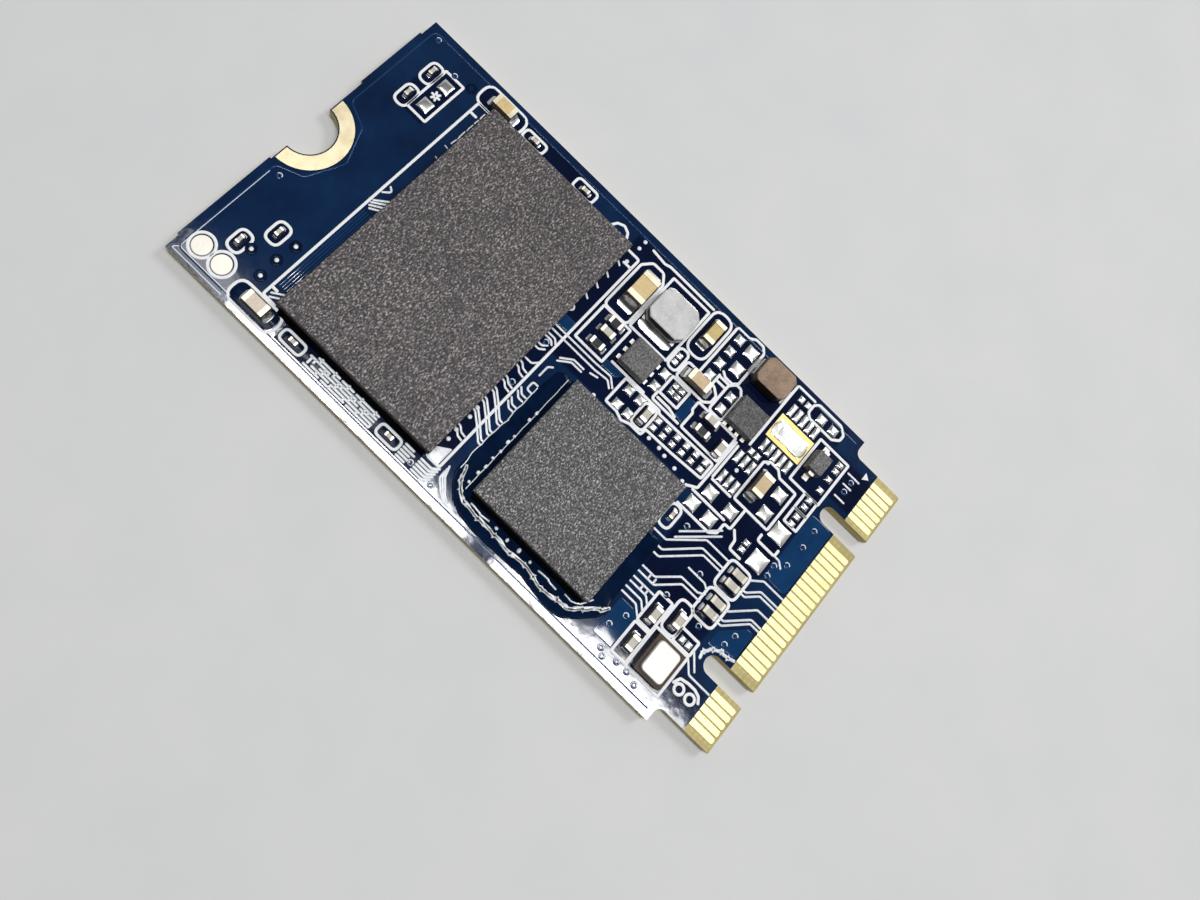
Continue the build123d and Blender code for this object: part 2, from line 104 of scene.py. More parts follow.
def axes(tree, vector):
    """The X, Y and Z of a vector."""
    return add_node(tree, "ShaderNodeSeparateXYZ", {"Vector": vector}).outputs


def normal_z(tree):
    """How far a face points up: 1 on top, 0 on the sides, -1 below."""
    return axes(tree, add_node(tree, "ShaderNodeNewGeometry").outputs["True Normal"])["Z"]


def facing_up(tree, least):
    """A factor that is 1 on the faces that point up by more than this share."""
    return math_node(tree, "GREATER_THAN", normal_z(tree), least)


def noise(tree, grain, detail=3.0, roughness=0.55, stretch=(1, 1, 1)):
    """Noise with grains of about this size in millimetres."""
    where = add_node(tree, "ShaderNodeMapping", {"Vector": place_of(tree), "Scale": stretch})
    return add_node(tree, "ShaderNodeTexNoise", {
        "Vector": where.outputs["Vector"], "Scale": 1 / (grain * MM),
        "Detail": detail, "Roughness": roughness}).outputs["Fac"]


def map_range(tree, value, low, high, to_low=0.0, to_high=1.0):
    """A value's range stretched onto another, and held at its ends."""
    return add_node(tree, "ShaderNodeMapRange", {
        "Value": value, "From Min": low, "From Max": high,
        "To Min": to_low, "To Max": to_high}).outputs["Result"]


def spread(tree, factor, low, high):
    """A noise mapped to a range."""
    return map_range(tree, factor, *NOISE_RANGE, low, high)


def ramp(tree, factor, places, colours):
    """Colours at these places along a factor."""
    node = add_node(tree, "ShaderNodeValToRGB", {"Fac": factor})
    elements = node.color_ramp.elements
    while len(elements) < len(places):
        elements.new(0.5)
    for element, place, colour in zip(elements, places, colours):
        element.position = place
        element.color = (*colour, 1)
    return node.outputs["Color"]


def blend(tree, first, second, share):
    """Two factors added up: this share of the first and the rest of the second."""
    return math_node(tree, "ADD", math_node(tree, "MULTIPLY", first, share),
                     math_node(tree, "MULTIPLY", second, 1 - share))


def mix(tree, factor, first, second):
    """Two colours mixed by a factor."""
    node = add_node(tree, "ShaderNodeMix", data_type="RGBA")
    for index, value in zip(MIX_INPUTS, (factor, first, second)):
        tree.links.new(value, node.inputs[index])
    return node.outputs[MIX_RESULT]


def bump(tree, shader, height, strength, depth):
    """Bump from a height, with a depth in millimetres."""
    node = add_node(tree, "ShaderNodeBump", {
        "Height": height, "Strength": strength, "Distance": depth * MM})
    link(tree, node.outputs["Normal"], shader, "Normal")


# Materials

FINE_SHARE = 0.6
BROAD_GRAIN = 9  # times the fine grain
TONE_STOPS = (0.32, 0.66)


def varied(name, dark, light, grain, rough, rough_spread=0.06, metallic=0.0, bump_depth=0.004,
           bump_strength=0.4, specular=0.5):
    """A finish that varies between two close colours, with a little roughness change and bump."""
    material, tree, shader = start_material(name, Metallic=metallic, Specular_IOR_Level=specular)
    fine = noise(tree, grain)
    broad = noise(tree, grain * BROAD_GRAIN, detail=2.0)
    tone = ramp(tree, blend(tree, fine, broad, FINE_SHARE), TONE_STOPS, (dark, light))
    link(tree, tone, shader, "Base Color")
    link(tree, spread(tree, broad, rough - rough_spread, rough + rough_spread), shader, "Roughness")
    bump(tree, shader, fine, bump_strength, bump_depth)
    return material


def plating(name, dark, light, grain, rough, rough_spread, metallic):
    """A smooth metal finish."""
    return varied(name, dark, light, grain, rough, rough_spread, metallic,
                  bump_depth=0.003, bump_strength=0.3)


BARE_ZONES = (  # where no copper lies under the mask: two corners
    (0.6, -11.45, 10.35, 2.35), (-0.6, -17.1, 9.3, -11.45), (9.3, -15.8, 10.75, -11.45),
    (-8.9, 1.3, 9.1, 2.4), (-9.7, -16.7, -4.4, -12.9), (-4.8, -16.75, -0.6, -11.2),
    (6.6, -18.95, 9.2, -17.1), (-8.5, 18.0, -7.1, 18.95), (-6.6, 16.85, -5.2, 17.85),
    (5.2, 16.7, 9.0, 19.2), (9.1, 5.9, 10.5, 15.7), (-10.55, 13.4, -9.2, 16.8),
    (-9.0, -18.75, -7.75, -16.85),
)
ZONE_FADE = 0.12


def bare_zones(tree, position):
    """A factor that is 1 in the zones with no copper under the mask."""
    inside = 0.0
    for x0, y0, x1, y1 in BARE_ZONES:
        margins = []
        for axis, low, high in (("X", x0, x1), ("Y", y0, y1)):
            off = math_node(tree, "SUBTRACT", position[axis], (low + high) / 2 * MM)
            reach = math_node(tree, "ABSOLUTE", off)
            margins.append(math_node(tree, "SUBTRACT", (high - low) / 2 * MM, reach))
        zone = map_range(tree, math_node(tree, "MINIMUM", *margins), -ZONE_FADE * MM, ZONE_FADE * MM)
        inside = math_node(tree, "MAXIMUM", inside, zone)
    return inside


MASK_TONES = ((0.0024, 0.013, 0.048), (0.0033, 0.018, 0.064), (0.0046, 0.026, 0.084))
BARE_TONES = ((0.0006, 0.003, 0.02), (0.0012, 0.007, 0.036))
LAMINATE_TONES = ((0.4, 0.32, 0.11), (0.68, 0.58, 0.25))
MASK_ROUGHNESS, LAMINATE_ROUGHNESS, PATCH_ROUGHNESS = 0.035, 0.6, 0.05
MASK_LAP = 0.02
FLAT_FACE = 0.9
WEAVE = {"Scale": 900.0, "Distortion": 1.5, "Detail": 2.0}
WEAVE_SHARE = 0.18
FIBRE_RELIEF = 0.2


def board_finish():
    """Blue mask on the two faces; bare laminate on the routed edges and in the contact zone."""
    material, tree, shader = start_material("board_mask_and_laminate", Specular_IOR_Level=0.6)
    position = axes(tree, place_of(tree))
    flat = math_node(tree, "GREATER_THAN", math_node(tree, "ABSOLUTE", normal_z(tree)), FLAT_FACE)
    coated = math_node(tree, "GREATER_THAN", position["Y"], (MASK_EDGE_Y - MASK_LAP) * MM)
    masked = math_node(tree, "MULTIPLY", flat, coated)
    patches = noise(tree, 2.6, detail=4.0)
    over_copper = ramp(tree, patches, (0.3, 0.5, 0.72), MASK_TONES)
    bare = ramp(tree, patches, (0.3, 0.72), BARE_TONES)
    zones = math_node(tree, "MULTIPLY", facing_up(tree, FLAT_FACE), bare_zones(tree, position))
    mask = mix(tree, zones, over_copper, bare)
    threads = [
        add_node(tree, "ShaderNodeTexWave", {"Vector": place_of(tree), **WEAVE}, bands_direction=axis)
        for axis in "XY"]
    cloth = math_node(tree, "MULTIPLY", *(thread.outputs["Fac"] for thread in threads))
    fibres = noise(tree, 0.35, stretch=(0.25, 0.25, 3.0))
    laminate = ramp(tree, blend(tree, cloth, fibres, WEAVE_SHARE), (0.25, 0.75), LAMINATE_TONES)
    link(tree, mix(tree, masked, laminate, mask), shader, "Base Color")
    smoother = math_node(tree, "MULTIPLY", masked, LAMINATE_ROUGHNESS - MASK_ROUGHNESS)
    rough = math_node(tree, "SUBTRACT", LAMINATE_ROUGHNESS, smoother)
    rough = math_node(tree, "ADD", rough, math_node(tree, "MULTIPLY", patches, PATCH_ROUGHNESS))
    link(tree, rough, shader, "Roughness")
    peel = noise(tree, 0.9, detail=2.0)
    relief = math_node(tree, "ADD", peel, math_node(tree, "MULTIPLY", fibres, FIBRE_RELIEF))
    bump(tree, shader, relief, strength=0.16, depth=0.02)
    return material


COARSE_GRAINS = ((0.34, 0.18), (0.45, 0.54), (0.53, 0.94), (0.6, 1.9), (0.68, 5.2))  # place, brightness
FINE_GRAINS = ((0.32, 0.4), (0.5, 0.96), (0.68, 2.1))
DRIFT = 0.08


def mould_finish(name, tint, level, grains, grain_size=0.08):
    """Filled epoxy: coarse bright and dark grains over a soft broad variation."""
    material, tree, shader = start_material(name, Specular_IOR_Level=0.5)
    grain = noise(tree, grain_size, detail=2.0, roughness=0.6, stretch=(0.6, 1.0, 1.0))
    broad = math_node(tree, "SUBTRACT", noise(tree, 3.5), 0.5)
    shade = math_node(tree, "ADD", grain, math_node(tree, "MULTIPLY", broad, DRIFT))
    places, gains = zip(*grains)
    tones = [[channel * level * gain for channel in tint] for gain in gains]
    link(tree, ramp(tree, shade, places, tones), shader, "Base Color")
    link(tree, spread(tree, grain, low=0.7, high=0.45), shader, "Roughness")
    bump(tree, shader, grain, strength=0.8, depth=0.025)
    return material


SUBSTRATE_TONES = ((0.012, 0.022, 0.014), (0.03, 0.045, 0.028))
SHADED_SIDE_TONES = ((0.008, 0.008, 0.009), (0.022, 0.021, 0.022))
FIBRE_STOPS = (0.35, 0.65)
SUBSTRATE_BAND = 0.2


def package_finish(name, tint, level, node, grain_size):
    """Moulded top, with the sides and the thin substrate that shows as a band round the foot painted near
    black as shade.
    """
    material = mould_finish(name, tint, level, COARSE_GRAINS, grain_size)
    tree = material.node_tree
    shader = tree.nodes["Principled BSDF"]
    mould = shader.inputs["Base Color"].links[0].from_socket
    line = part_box(node)[0].z + SUBSTRATE_BAND * MM
    above = math_node(tree, "GREATER_THAN", axes(tree, place_of(tree))["Z"], line)
    fibres = noise(tree, 0.2, stretch=(0.3, 0.3, 4.0))
    substrate, shaded_sides = (ramp(tree, fibres, FIBRE_STOPS, tones) for tones in (SUBSTRATE_TONES, SHADED_SIDE_TONES))
    side = mix(tree, above, substrate, shaded_sides)
    # Faces that do not point up take the near-black tones: painted shade.
    link(tree, mix(tree, facing_up(tree, least=0.3), side, mould), shader, "Base Color")
    return material


COAT_TONES = ((0.008, 0.008, 0.009), (0.03, 0.03, 0.032))
ALUMINA_TONES = ((0.5, 0.49, 0.46), (0.72, 0.71, 0.68))


def resistor_finish():
    """Black glass coat on top of a white ceramic plate."""
    material, tree, shader = start_material("resistor_coat_and_alumina")
    fine = noise(tree, 0.08)
    coat = ramp(tree, fine, (0.35, 0.7), COAT_TONES)
    alumina = ramp(tree, fine, (0.3, 0.7), ALUMINA_TONES)
    link(tree, mix(tree, facing_up(tree, least=0.5), alumina, coat), shader, "Base Color")
    link(tree, spread(tree, fine, low=0.25, high=0.4), shader, "Roughness")
    bump(tree, shader, fine, strength=0.25, depth=0.006)
    return material


GROUND_STOPS = (0.34, 0.66)
GROUND_FINE_SHARE = 0.55


def top_over_shaded_sides(name, top_tones, shaded_side_tones, metallic=0.0, specular=0.3):
    """A part whose top is pale, over sides painted dark as shade."""
    material, tree, shader = start_material(name, Metallic=metallic, Specular_IOR_Level=specular)
    fine = noise(tree, 0.09)
    broad = noise(tree, 0.7)
    both = blend(tree, fine, broad, GROUND_FINE_SHARE)
    top, side = (ramp(tree, both, GROUND_STOPS, tones) for tones in (top_tones, shaded_side_tones))
    # Faces that do not point up take the dark side tones: painted shade.
    link(tree, mix(tree, facing_up(tree, least=0.6), side, top), shader, "Base Color")
    link(tree, spread(tree, broad, low=0.38, high=0.52), shader, "Roughness")
    bump(tree, shader, fine, strength=0.4, depth=0.008)
    return material


# The side shares paint the sides darker as shade.
CERAMIC_TOP, CERAMIC_SHADED_SIDE = (0.82, 1.14), (0.12, 0.26)  # dark and light, as shares of the tone


def ceramic(name, tone):
    """Fired ceramic of a capacitor, round a middle tone, with its sides painted darker as shade."""
    top, side = ([[share * channel for channel in tone] for share in shares]
                 for shares in (CERAMIC_TOP, CERAMIC_SHADED_SIDE))
    return top_over_shaded_sides(name, top, side, specular=0.5)


# Mask, resin and print
board_material = board_finish()
copper_mask = varied("mask_over_copper", (0.003, 0.03, 0.098), (0.006, 0.046, 0.14), 0.6, 0.06, 0.02,
                     bump_depth=0.006, bump_strength=0.15, specular=0.6)
# Painted highlight: the raised traces and the marks drawn with them are coloured near white for the glints
# on their ridges.
trace_highlight = varied("traces_painted_highlight", (0.66, 0.7, 0.75), (0.9, 0.92, 0.94), 0.25, 0.2, 0.04,
                    bump_strength=0.2, specular=0.6)
# Dark resin of the apron; also used below as painted shade at the vias and footprints.
underfill_and_painted_shade = varied("underfill_resin", (0.0018, 0.006, 0.024), (0.0035, 0.014, 0.046), 0.9, 0.09, 0.03,
                   bump_depth=0.01, bump_strength=0.1, specular=0.04)
# Painted shadow: near black.
shadow_black = varied("painted_shadow_black", (0.0006, 0.0007, 0.001), (0.0018, 0.002, 0.003), 0.5, 0.35, 0.05,
                    bump_depth=0.01, bump_strength=0.2, specular=0.05)
# Painted highlight: near-white glaze for the glints along the resin.
painted_glint_glaze = varied("painted_glint_glaze", (0.84, 0.86, 0.88), (0.96, 0.97, 0.97), 0.3, 0.12, 0.05,
                    bump_depth=0.01, specular=0.8)
ink = varied("white_print", (0.84, 0.85, 0.86), (0.94, 0.94, 0.95), 0.07, 0.5, bump_depth=0.006)

# Metals
gold = plating("gold_plating", (0.95, 0.78, 0.37), (1.0, 0.9, 0.52), 0.09, 0.4, 0.05, 0.8)
ring_gold = plating("ring_gold_plating", (0.95, 0.8, 0.46), (1.0, 0.92, 0.66), 0.09, 0.4, 0.05, 0.8)
land_gold = plating("land_gold_plating", (0.74, 0.58, 0.19), (0.88, 0.72, 0.3), 0.12, 0.45, 0.06, 0.6)
pale_gold = plating("worn_gold_plating", (0.85, 0.81, 0.7), (0.94, 0.91, 0.83), 0.12, 0.57, 0.05, 0.6)
solder = varied("reflowed_solder", (0.86, 0.86, 0.84), (0.98, 0.98, 0.96), 0.12, 0.27, metallic=1.0,
                bump_depth=0.006, bump_strength=0.2)
dull_solder = varied("wiped_solder", (0.42, 0.42, 0.4), (0.66, 0.66, 0.63), 0.22, 0.38, 0.08, 0.85,
                     bump_depth=0.03, bump_strength=0.5)
lid_metal = varied("crystal_lid_plating", (0.72, 0.69, 0.63), (0.86, 0.84, 0.79), 0.2, 0.57, 0.05, 0.85,
                   bump_depth=0.003, bump_strength=0.2)
# The dark second tones of these tin finishes are painted shade on the sides.
tin = top_over_shaded_sides("tin_plating", ((0.86, 0.84, 0.78), (0.98, 0.96, 0.92)),
                 ((0.12, 0.1, 0.08), (0.36, 0.32, 0.26)), metallic=0.9)
# A darker copy of the tin for the ends of the coupling capacitors: painted shade.
shaded_tin = top_over_shaded_sides("tin_plating_painted_shade", ((0.42, 0.39, 0.34), (0.64, 0.6, 0.53)),
                      ((0.05, 0.04, 0.03), (0.16, 0.14, 0.11)), metallic=0.8)
warm_tin = top_over_shaded_sides("warm_tin_plating", ((0.86, 0.78, 0.56), (0.97, 0.91, 0.72)),
                      ((0.1, 0.08, 0.05), (0.32, 0.27, 0.18)), metallic=0.6)

# Bodies of the parts
flash_mould = package_finish("flash_mould", (1.0, 0.865, 0.88), 0.086, "flash_package", 0.096)
controller_mould = package_finish("controller_mould", (1.0, 0.965, 0.98), 0.1, "controller_package", 0.082)
small_mould = mould_finish("small_mould", (1.0, 0.98, 1.0), 0.095, FINE_GRAINS)
dark_mould = mould_finish("dark_mould", (1.0, 0.98, 1.0), 0.075, FINE_GRAINS)
diode_mould = mould_finish("diode_mould", (1.0, 0.99, 1.0), 0.115, FINE_GRAINS)
# Ferrite and composite: their near-black side tones are painted shade.
ferrite = top_over_shaded_sides("ground_ferrite", ((0.5, 0.495, 0.495), (0.72, 0.71, 0.71)),
                     ((0.012, 0.012, 0.013), (0.03, 0.029, 0.03)))
winding = varied("winding_resin", (0.02, 0.016, 0.013), (0.06, 0.042, 0.03), 0.12, 0.4, 0.1,
                 bump_depth=0.03)
composite = top_over_shaded_sides("brown_composite", ((0.17, 0.11, 0.075), (0.42, 0.285, 0.19)),
                       ((0.01, 0.007, 0.005), (0.028, 0.018, 0.012)))
crystal_ceramic = varied("crystal_ceramic", (0.02, 0.011, 0.006), (0.08, 0.044, 0.02), 0.15, 0.45, 0.08,
                         specular=0.3)
resistor = resistor_finish()
tan = ceramic("tan_ceramic", (0.62, 0.46, 0.27))
olive = ceramic("olive_ceramic", (0.6, 0.45, 0.17))
golden = ceramic("golden_ceramic", (0.72, 0.54, 0.26))
pale = ceramic("pale_ceramic", (0.56, 0.52, 0.44))
cream = ceramic("cream_ceramic", (0.72, 0.61, 0.5))

node_finishes = {
    "circuit_board": board_material, "edge_contacts_top": gold, "edge_contacts_bottom": gold,
    "screw_ring_top": ring_gold, "screw_ring_bottom": ring_gold, "test_pads": pale_gold,
    "thermal_land": land_gold, "flash_package": flash_mould, "controller_package": controller_mould,
    "power_inductor_core": ferrite, "power_inductor_winding": winding, "filter_inductor_body": composite,
    "regulator_a_body": small_mould, "regulator_b_body": dark_mould, "diode_body": diode_mould,
    "crystal_base": crystal_ceramic, "crystal_lid": lid_metal, "input_capacitor_body": golden,
    "output_capacitor_body": olive, "small_capacitor_body": pale, "tiny_capacitor_body": pale,
    "flash_capacitor_left_body": cream, "flash_capacitor_right_body": golden,
}
for part in ("input_capacitor", "output_capacitor", "core_capacitor", "rail_capacitor",
             "flash_capacitor_left", "flash_capacitor_right"):
    node_finishes[f"{part}_ends"] = warm_tin
for letter in "abcd":
    node_finishes[f"coupling_capacitor_{letter}_body"] = pale
    node_finishes[f"coupling_capacitor_{letter}_ends"] = shaded_tin

PLATED = ("_ends", "_leads", "_terminals")
EASED = {  # bevel widths of the moulded and fired parts
    "flash_package": 0.03, "controller_package": 0.03, "power_inductor_core": 0.04,
    "filter_inductor_body": 0.05, "regulator_a_body": 0.025, "regulator_b_body": 0.025, "diode_body": 0.04,
    "crystal_base": 0.03,
}
PLATED_EASE, CHIP_EASE = 0.02, 0.015
EASE_ANGLE = 25
SAME_CORNER = 1e-6  # metres


def finish_of(name):
    """The finish of a CAD node: its own, or that of its kind."""
    if name in node_finishes:
        return node_finishes[name]
    if name.endswith(PLATED):
        return tin
    if "resistor" in name:
        return resistor
    return tan if "capacitor" in name else solder


for name, node in nodes.items():
    node.data.materials.clear()
    node.data.materials.append(finish_of(name))
    width = EASED.get(name)
    if name.endswith(PLATED):
        width = PLATED_EASE
    if name.endswith("capacitor_body"):
        width = CHIP_EASE
    if width:
        weld = node.modifiers.new("weld", "WELD")
        weld.merge_threshold = SAME_CORNER
        edge = node.modifiers.new("ease", "BEVEL")
        edge.width = width * MM
        edge.segments = 2
        edge.limit_method = "ANGLE"
        edge.angle_limit = math.radians(EASE_ANGLE)


# Mesh helpers

CORNER_STEPS = 5
CORNER_SHARE = 0.49  # of a side, at most, goes into a rounded corner


def rounded(points, radius, closed=False):
    """A path with its corners rounded."""
    path = []
    last = len(points) - 1
    for index, point in enumerate(points):
        corner = Vector(point)
        if not closed and index in (0, last):
            path.append(corner)
            continue
        back = Vector(points[index - 1]) - corner
        on = Vector(points[(index + 1) % len(points)]) - corner
        reach = radius / math.tan(back.angle(on) / 2)
        reach = min(reach, CORNER_SHARE * back.length, CORNER_SHARE * on.length)
        start = corner + back.normalized() * reach
        end = corner + on.normalized() * reach
        for step in range(CORNER_STEPS + 1):
            t = step / CORNER_STEPS
            path.append(start * (1 - t) ** 2 + corner * (2 * t * (1 - t)) + end * t ** 2)
    return path


def box_path(x0, y0, x1, y1, radius):
    """A box with rounded corners."""
    return rounded([(x0, y0), (x1, y0), (x1, y1), (x0, y1)], radius, closed=True)


def arc_path(x, y, radius, turns):
    """Points on a circle at these angles in degrees."""
    return [Vector((x + radius * math.cos(math.radians(turn)), y + radius * math.sin(math.radians(turn))))
            for turn in turns]


def ring_path(x, y, radius, steps):
    """A whole circle."""
    return arc_path(x, y, radius, [360 * step / steps for step in range(steps)])


WAVE_STEP = 0.12
SECOND_SWING, SECOND_BEAT, SECOND_START = 0.7, 2.37, 1.0  # against the first wave


def wavy(path, swing, beat):
    """A path that wanders a little to either side, with two beats that never line up."""
    fine = []
    for first, second in zip(path, path[1:]):
        steps = max(2, round((second - first).length / WAVE_STEP))
        fine += [first.lerp(second, step / steps) for step in range(steps)]
    fine.append(path[-1])
    wander = []
    for index, point in enumerate(fine):
        on = fine[min(index + 1, len(fine) - 1)] - fine[max(index - 1, 0)]
        wave = math.sin(index * beat) + SECOND_SWING * math.sin(index * beat * SECOND_BEAT + SECOND_START)
        wander.append(point + Vector((-on.y, on.x)).normalized() * (swing * wave))
    return wander


def vertex(mesh, x, y, z):
    """A corner of a mesh, at a place in millimetres."""
    return mesh.verts.new((x * MM, y * MM, z * MM))


def loft(mesh, rings, closed=False, crown=None):
    """Walls from ring to ring, with flat ends; a crown turns the last end into a fan."""
    pairs = list(zip(rings, rings[1:]))
    if closed:
        pairs.append((rings[-1], rings[0]))
    for first, second in pairs:
        for i in range(len(first)):
            j = (i + 1) % len(first)
            mesh.faces.new((first[i], first[j], second[j], second[i]))
    if closed:
        return
    mesh.faces.new(rings[0][::-1])
    if crown is None:
        mesh.faces.new(rings[-1])
        return
    for here, on in zip(rings[-1], rings[-1][1:] + rings[-1][:1]):
        mesh.faces.new((here, on, crown))


RIDGE = ((-0.5, 0.0), (-0.43, 0.7), (-0.22, 1.0), (0.22, 1.0), (0.43, 0.7), (0.5, 0.0))  # of width, height
END_TURNS = [math.radians(turn) for turn in (75, 50, 25)]
MOST_STRETCH = 2


def ribbon(mesh, path, width, height, closed=False, base=BOARD_TOP, up=1):
    """A low rounded ridge along a path, with round ends."""
    path = [Vector(point) for point in path]
    count = len(path)
    stations = []
    for index, point in enumerate(path):
        back = point - path[index - 1] if closed or index else path[1] - point
        on = path[(index + 1) % count] - point if closed or index < count - 1 else back
        along = (back.normalized() + on.normalized()).normalized()
        stretch = 1 / max(1 / MOST_STRETCH, along.dot(back.normalized()))
        stations.append((point, Vector((along.y, -along.x)), stretch))
    if not closed:
        for end, way in ((0, -1), (-1, 1)):
            point, side, _ = stations[end]
            along = Vector((-side.y, side.x)) * way
            caps = [(point + along * (width / 2 * math.sin(turn)), side, math.cos(turn))
                    for turn in END_TURNS]
            stations = caps + stations if way < 0 else stations + caps[::-1]
    rings = []
    for point, side, stretch in stations:
        lift = min(1.0, stretch)
        rings.append([vertex(mesh, point.x + side.x * share * width * stretch,
                             point.y + side.y * share * width * stretch,
                             base + up * level * height * lift) for share, level in RIDGE])
    loft(mesh, rings, closed)


RIM = ((0.0, 0.0), (0.15, 0.6), (0.5, 0.9), (1.0, 1.0))  # shares of a plate's edge and height


def plate(mesh, path, height, edge, base=BOARD_TOP, up=1):
    """A thin slab over a closed path that runs counterclockwise, with a rounded rim."""
    path = [Vector(point) for point in path]
    rings = []
    for share, level in RIM:
        ring = []
        for index, point in enumerate(path):
            along = (path[(index + 1) % len(path)] - path[index - 1]).normalized()
            moved = point + Vector((-along.y, along.x)) * (share * edge)
            ring.append(vertex(mesh, *moved, base + up * level * height))
        rings.append(ring)
    loft(mesh, rings)


def dome(mesh, spot, half_x, half_y, squareness, rise, rings, around):
    """A drop of solder or resin, rounded in plan."""
    levels = []
    for ring in range(rings):
        angle = math.pi / 2 * ring / rings
        swell = math.sqrt(math.cos(angle))
        loop = []
        for step in range(around):
            turn = 2 * math.pi * step / around
            c, s = math.cos(turn), math.sin(turn)
            x = math.copysign(abs(c) ** (2 / squareness), c) * half_x * swell
            y = math.copysign(abs(s) ** (2 / squareness), s) * half_y * swell
            loop.append(vertex(mesh, spot.x + x, spot.y + y, spot.z + rise * math.sin(angle)))
        levels.append(loop)
    loft(mesh, levels, crown=vertex(mesh, spot.x, spot.y, spot.z + rise))


def blanket(mesh, steps, foot, surface):
    """A solid over a square grid; surface gives the place and rise at two shares from 0 to 1."""
    row = steps + 1
    tops = []
    feet = []
    for i in range(row):
        for j in range(row):
            x, y, rise = surface(i / steps, j / steps)
            tops.append(vertex(mesh, x, y, foot + rise))
            feet.append(vertex(mesh, x, y, foot))
    for i in range(steps):
        for j in range(steps):
            corner = i * row + j
            square = (corner, corner + row, corner + row + 1, corner + 1)
            mesh.faces.new([tops[k] for k in square])
            mesh.faces.new([feet[k] for k in reversed(square)])
    rim = list(range(row)) + [i * row + steps for i in range(1, row)]
    rim += [steps * row + j for j in range(steps - 1, -1, -1)] + [i * row for i in range(steps - 1, 0, -1)]
    for here, on in zip(rim, rim[1:] + rim[:1]):
        mesh.faces.new((feet[here], feet[on], tops[on], tops[here]))


SAME_POINT = 1e-7  # metres


def solids_of(name):
    """The corner points of each separate solid of a CAD node, in millimetres."""
    mesh = bmesh.new()
    mesh.from_mesh(nodes[name].data)
    bmesh.ops.remove_doubles(mesh, verts=mesh.verts, dist=SAME_POINT)
    seen = set()
    solids = []
    for vert in mesh.verts:
        if vert in seen:
            continue
        group = []
        queue = [vert]
        seen.add(vert)
        while queue:
            here = queue.pop()
            group.append(here.co / MM)
            for edge in here.link_edges:
                other = edge.other_vert(here)
                if other not in seen:
                    seen.add(other)
                    queue.append(other)
        solids.append(group)
    mesh.free()
    return solids


def box_of(points):
    """The low and high corner of some points."""
    return (Vector([min(p[i] for p in points) for i in range(3)]),
            Vector([max(p[i] for p in points) for i in range(3)]))


def node_box(name):
    """The low and high corner of a CAD node, in millimetres."""
    return [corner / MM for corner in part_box(name)]


def finish_piece(name, mesh, material, slot, stands_for=(), smooth_angle=50):
    """Makes the mesh a piece of the module."""
    bmesh.ops.recalc_face_normals(mesh, faces=mesh.faces)
    data = bpy.data.meshes.new(name)
    mesh.to_mesh(data)
    mesh.free()
    data.polygons.foreach_set("use_smooth", [True] * len(data.polygons))
    piece = bpy.data.objects.new(name, data)
    bpy.context.scene.collection.objects.link(piece)
    data.materials.append(material)
    data.set_sharp_from_angle(angle=math.radians(smooth_angle))
    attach(piece, "root")
    if stands_for:
        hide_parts(*stands_for)


# Solder: pillows on the bare lands, hollow fillets, and the balls under the packages

LARGE_LAND = 0.85
SMALL_CREEP, LARGE_CREEP = 0.05, -0.04  # solder spreads past a small land and draws in on a large one
PILLOW_STEPS = 10
PILLOW_RIM = 0.012
PILLOW_FULLNESS = 4.5
FILLET_STEPS = 6
FILLET_BELLY, FILLET_TAPER = 0.06, 0.2  # shares of its width
FILLET_TOE, FILLET_SHOULDER, FILLET_LIP = 0.08, 0.45, 0.75  # shares of its height
FILLET_SMOOTH = 60
HEEL_BAND = 1e-4
BALL_RINGS = 6
BALL_SIDES = 14
BALL_CUT = 0.72  # share of the radius at which the flats cut the ball


def pillow(mesh, solid):
    """Solder that wets a bare land: pulled thin at the corners, full in the middle."""
    low, high = box_of(solid)
    creep = LARGE_CREEP if min(high.x - low.x, high.y - low.y) > LARGE_LAND else SMALL_CREEP
    middle = (low + high) / 2
    half = (high - low) / 2 + Vector((creep, creep, 0))
    fullest = high.z - low.z - PILLOW_RIM

    def surface(s, t):
        u = -math.cos(math.pi * s)
        v = -math.cos(math.pi * t)
        full = (1 - abs(u) ** PILLOW_FULLNESS) * (1 - abs(v) ** PILLOW_FULLNESS)
        return middle.x + u * half.x, middle.y + v * half.y, PILLOW_RIM + fullest * full

    blanket(mesh, PILLOW_STEPS, low.z, surface)


def fillet(mesh, solid):
    """Solder that climbs from a land to a plated end in a hollow curve."""
    low, high = box_of(solid)
    tall = [p for p in solid if p.z > high.z - HEEL_BAND]
    heel = sum(tall, Vector()) / len(tall)
    run = ((low + high) / 2 - heel).xy
    along = run.normalized()
    across = Vector((-along.y, along.x))
    half = (abs(across.x) * (high.x - low.x) + abs(across.y) * (high.y - low.y)) / 2
    climb = high.z - low.z

    def surface(u, t):
        v = 2 * t - 1
        belly = 1 - FILLET_BELLY + FILLET_BELLY * math.sin(math.pi * u)
        wide = half * belly * (1 - FILLET_TAPER * u ** 4)
        hollow = FILLET_TOE + (1 - FILLET_TOE) * (1 - u) ** 3
        rise = climb * hollow * (1 - FILLET_SHOULDER * abs(v) ** 4) * (1 - FILLET_LIP * u ** 8)
        at = heel.xy + run * (2 * u) + across * (v * wide)
        return at.x, at.y, rise

    blanket(mesh, FILLET_STEPS, low.z, surface)


def ball(mesh, solid):
    """A solder ball between two flats."""
    low, high = box_of(solid)
    middle = (low + high) / 2
    half = (high - low) / 2
    rings = []
    for ring in range(BALL_RINGS + 1):
        level = 2 * ring / BALL_RINGS - 1
        wide = half.x * math.sqrt(1 - (BALL_CUT * level) ** 2)
        outline = ring_path(middle.x, middle.y, wide, BALL_SIDES)
        rings.append([vertex(mesh, *spot, middle.z + level * half.z) for spot in outline])
    loft(mesh, rings)


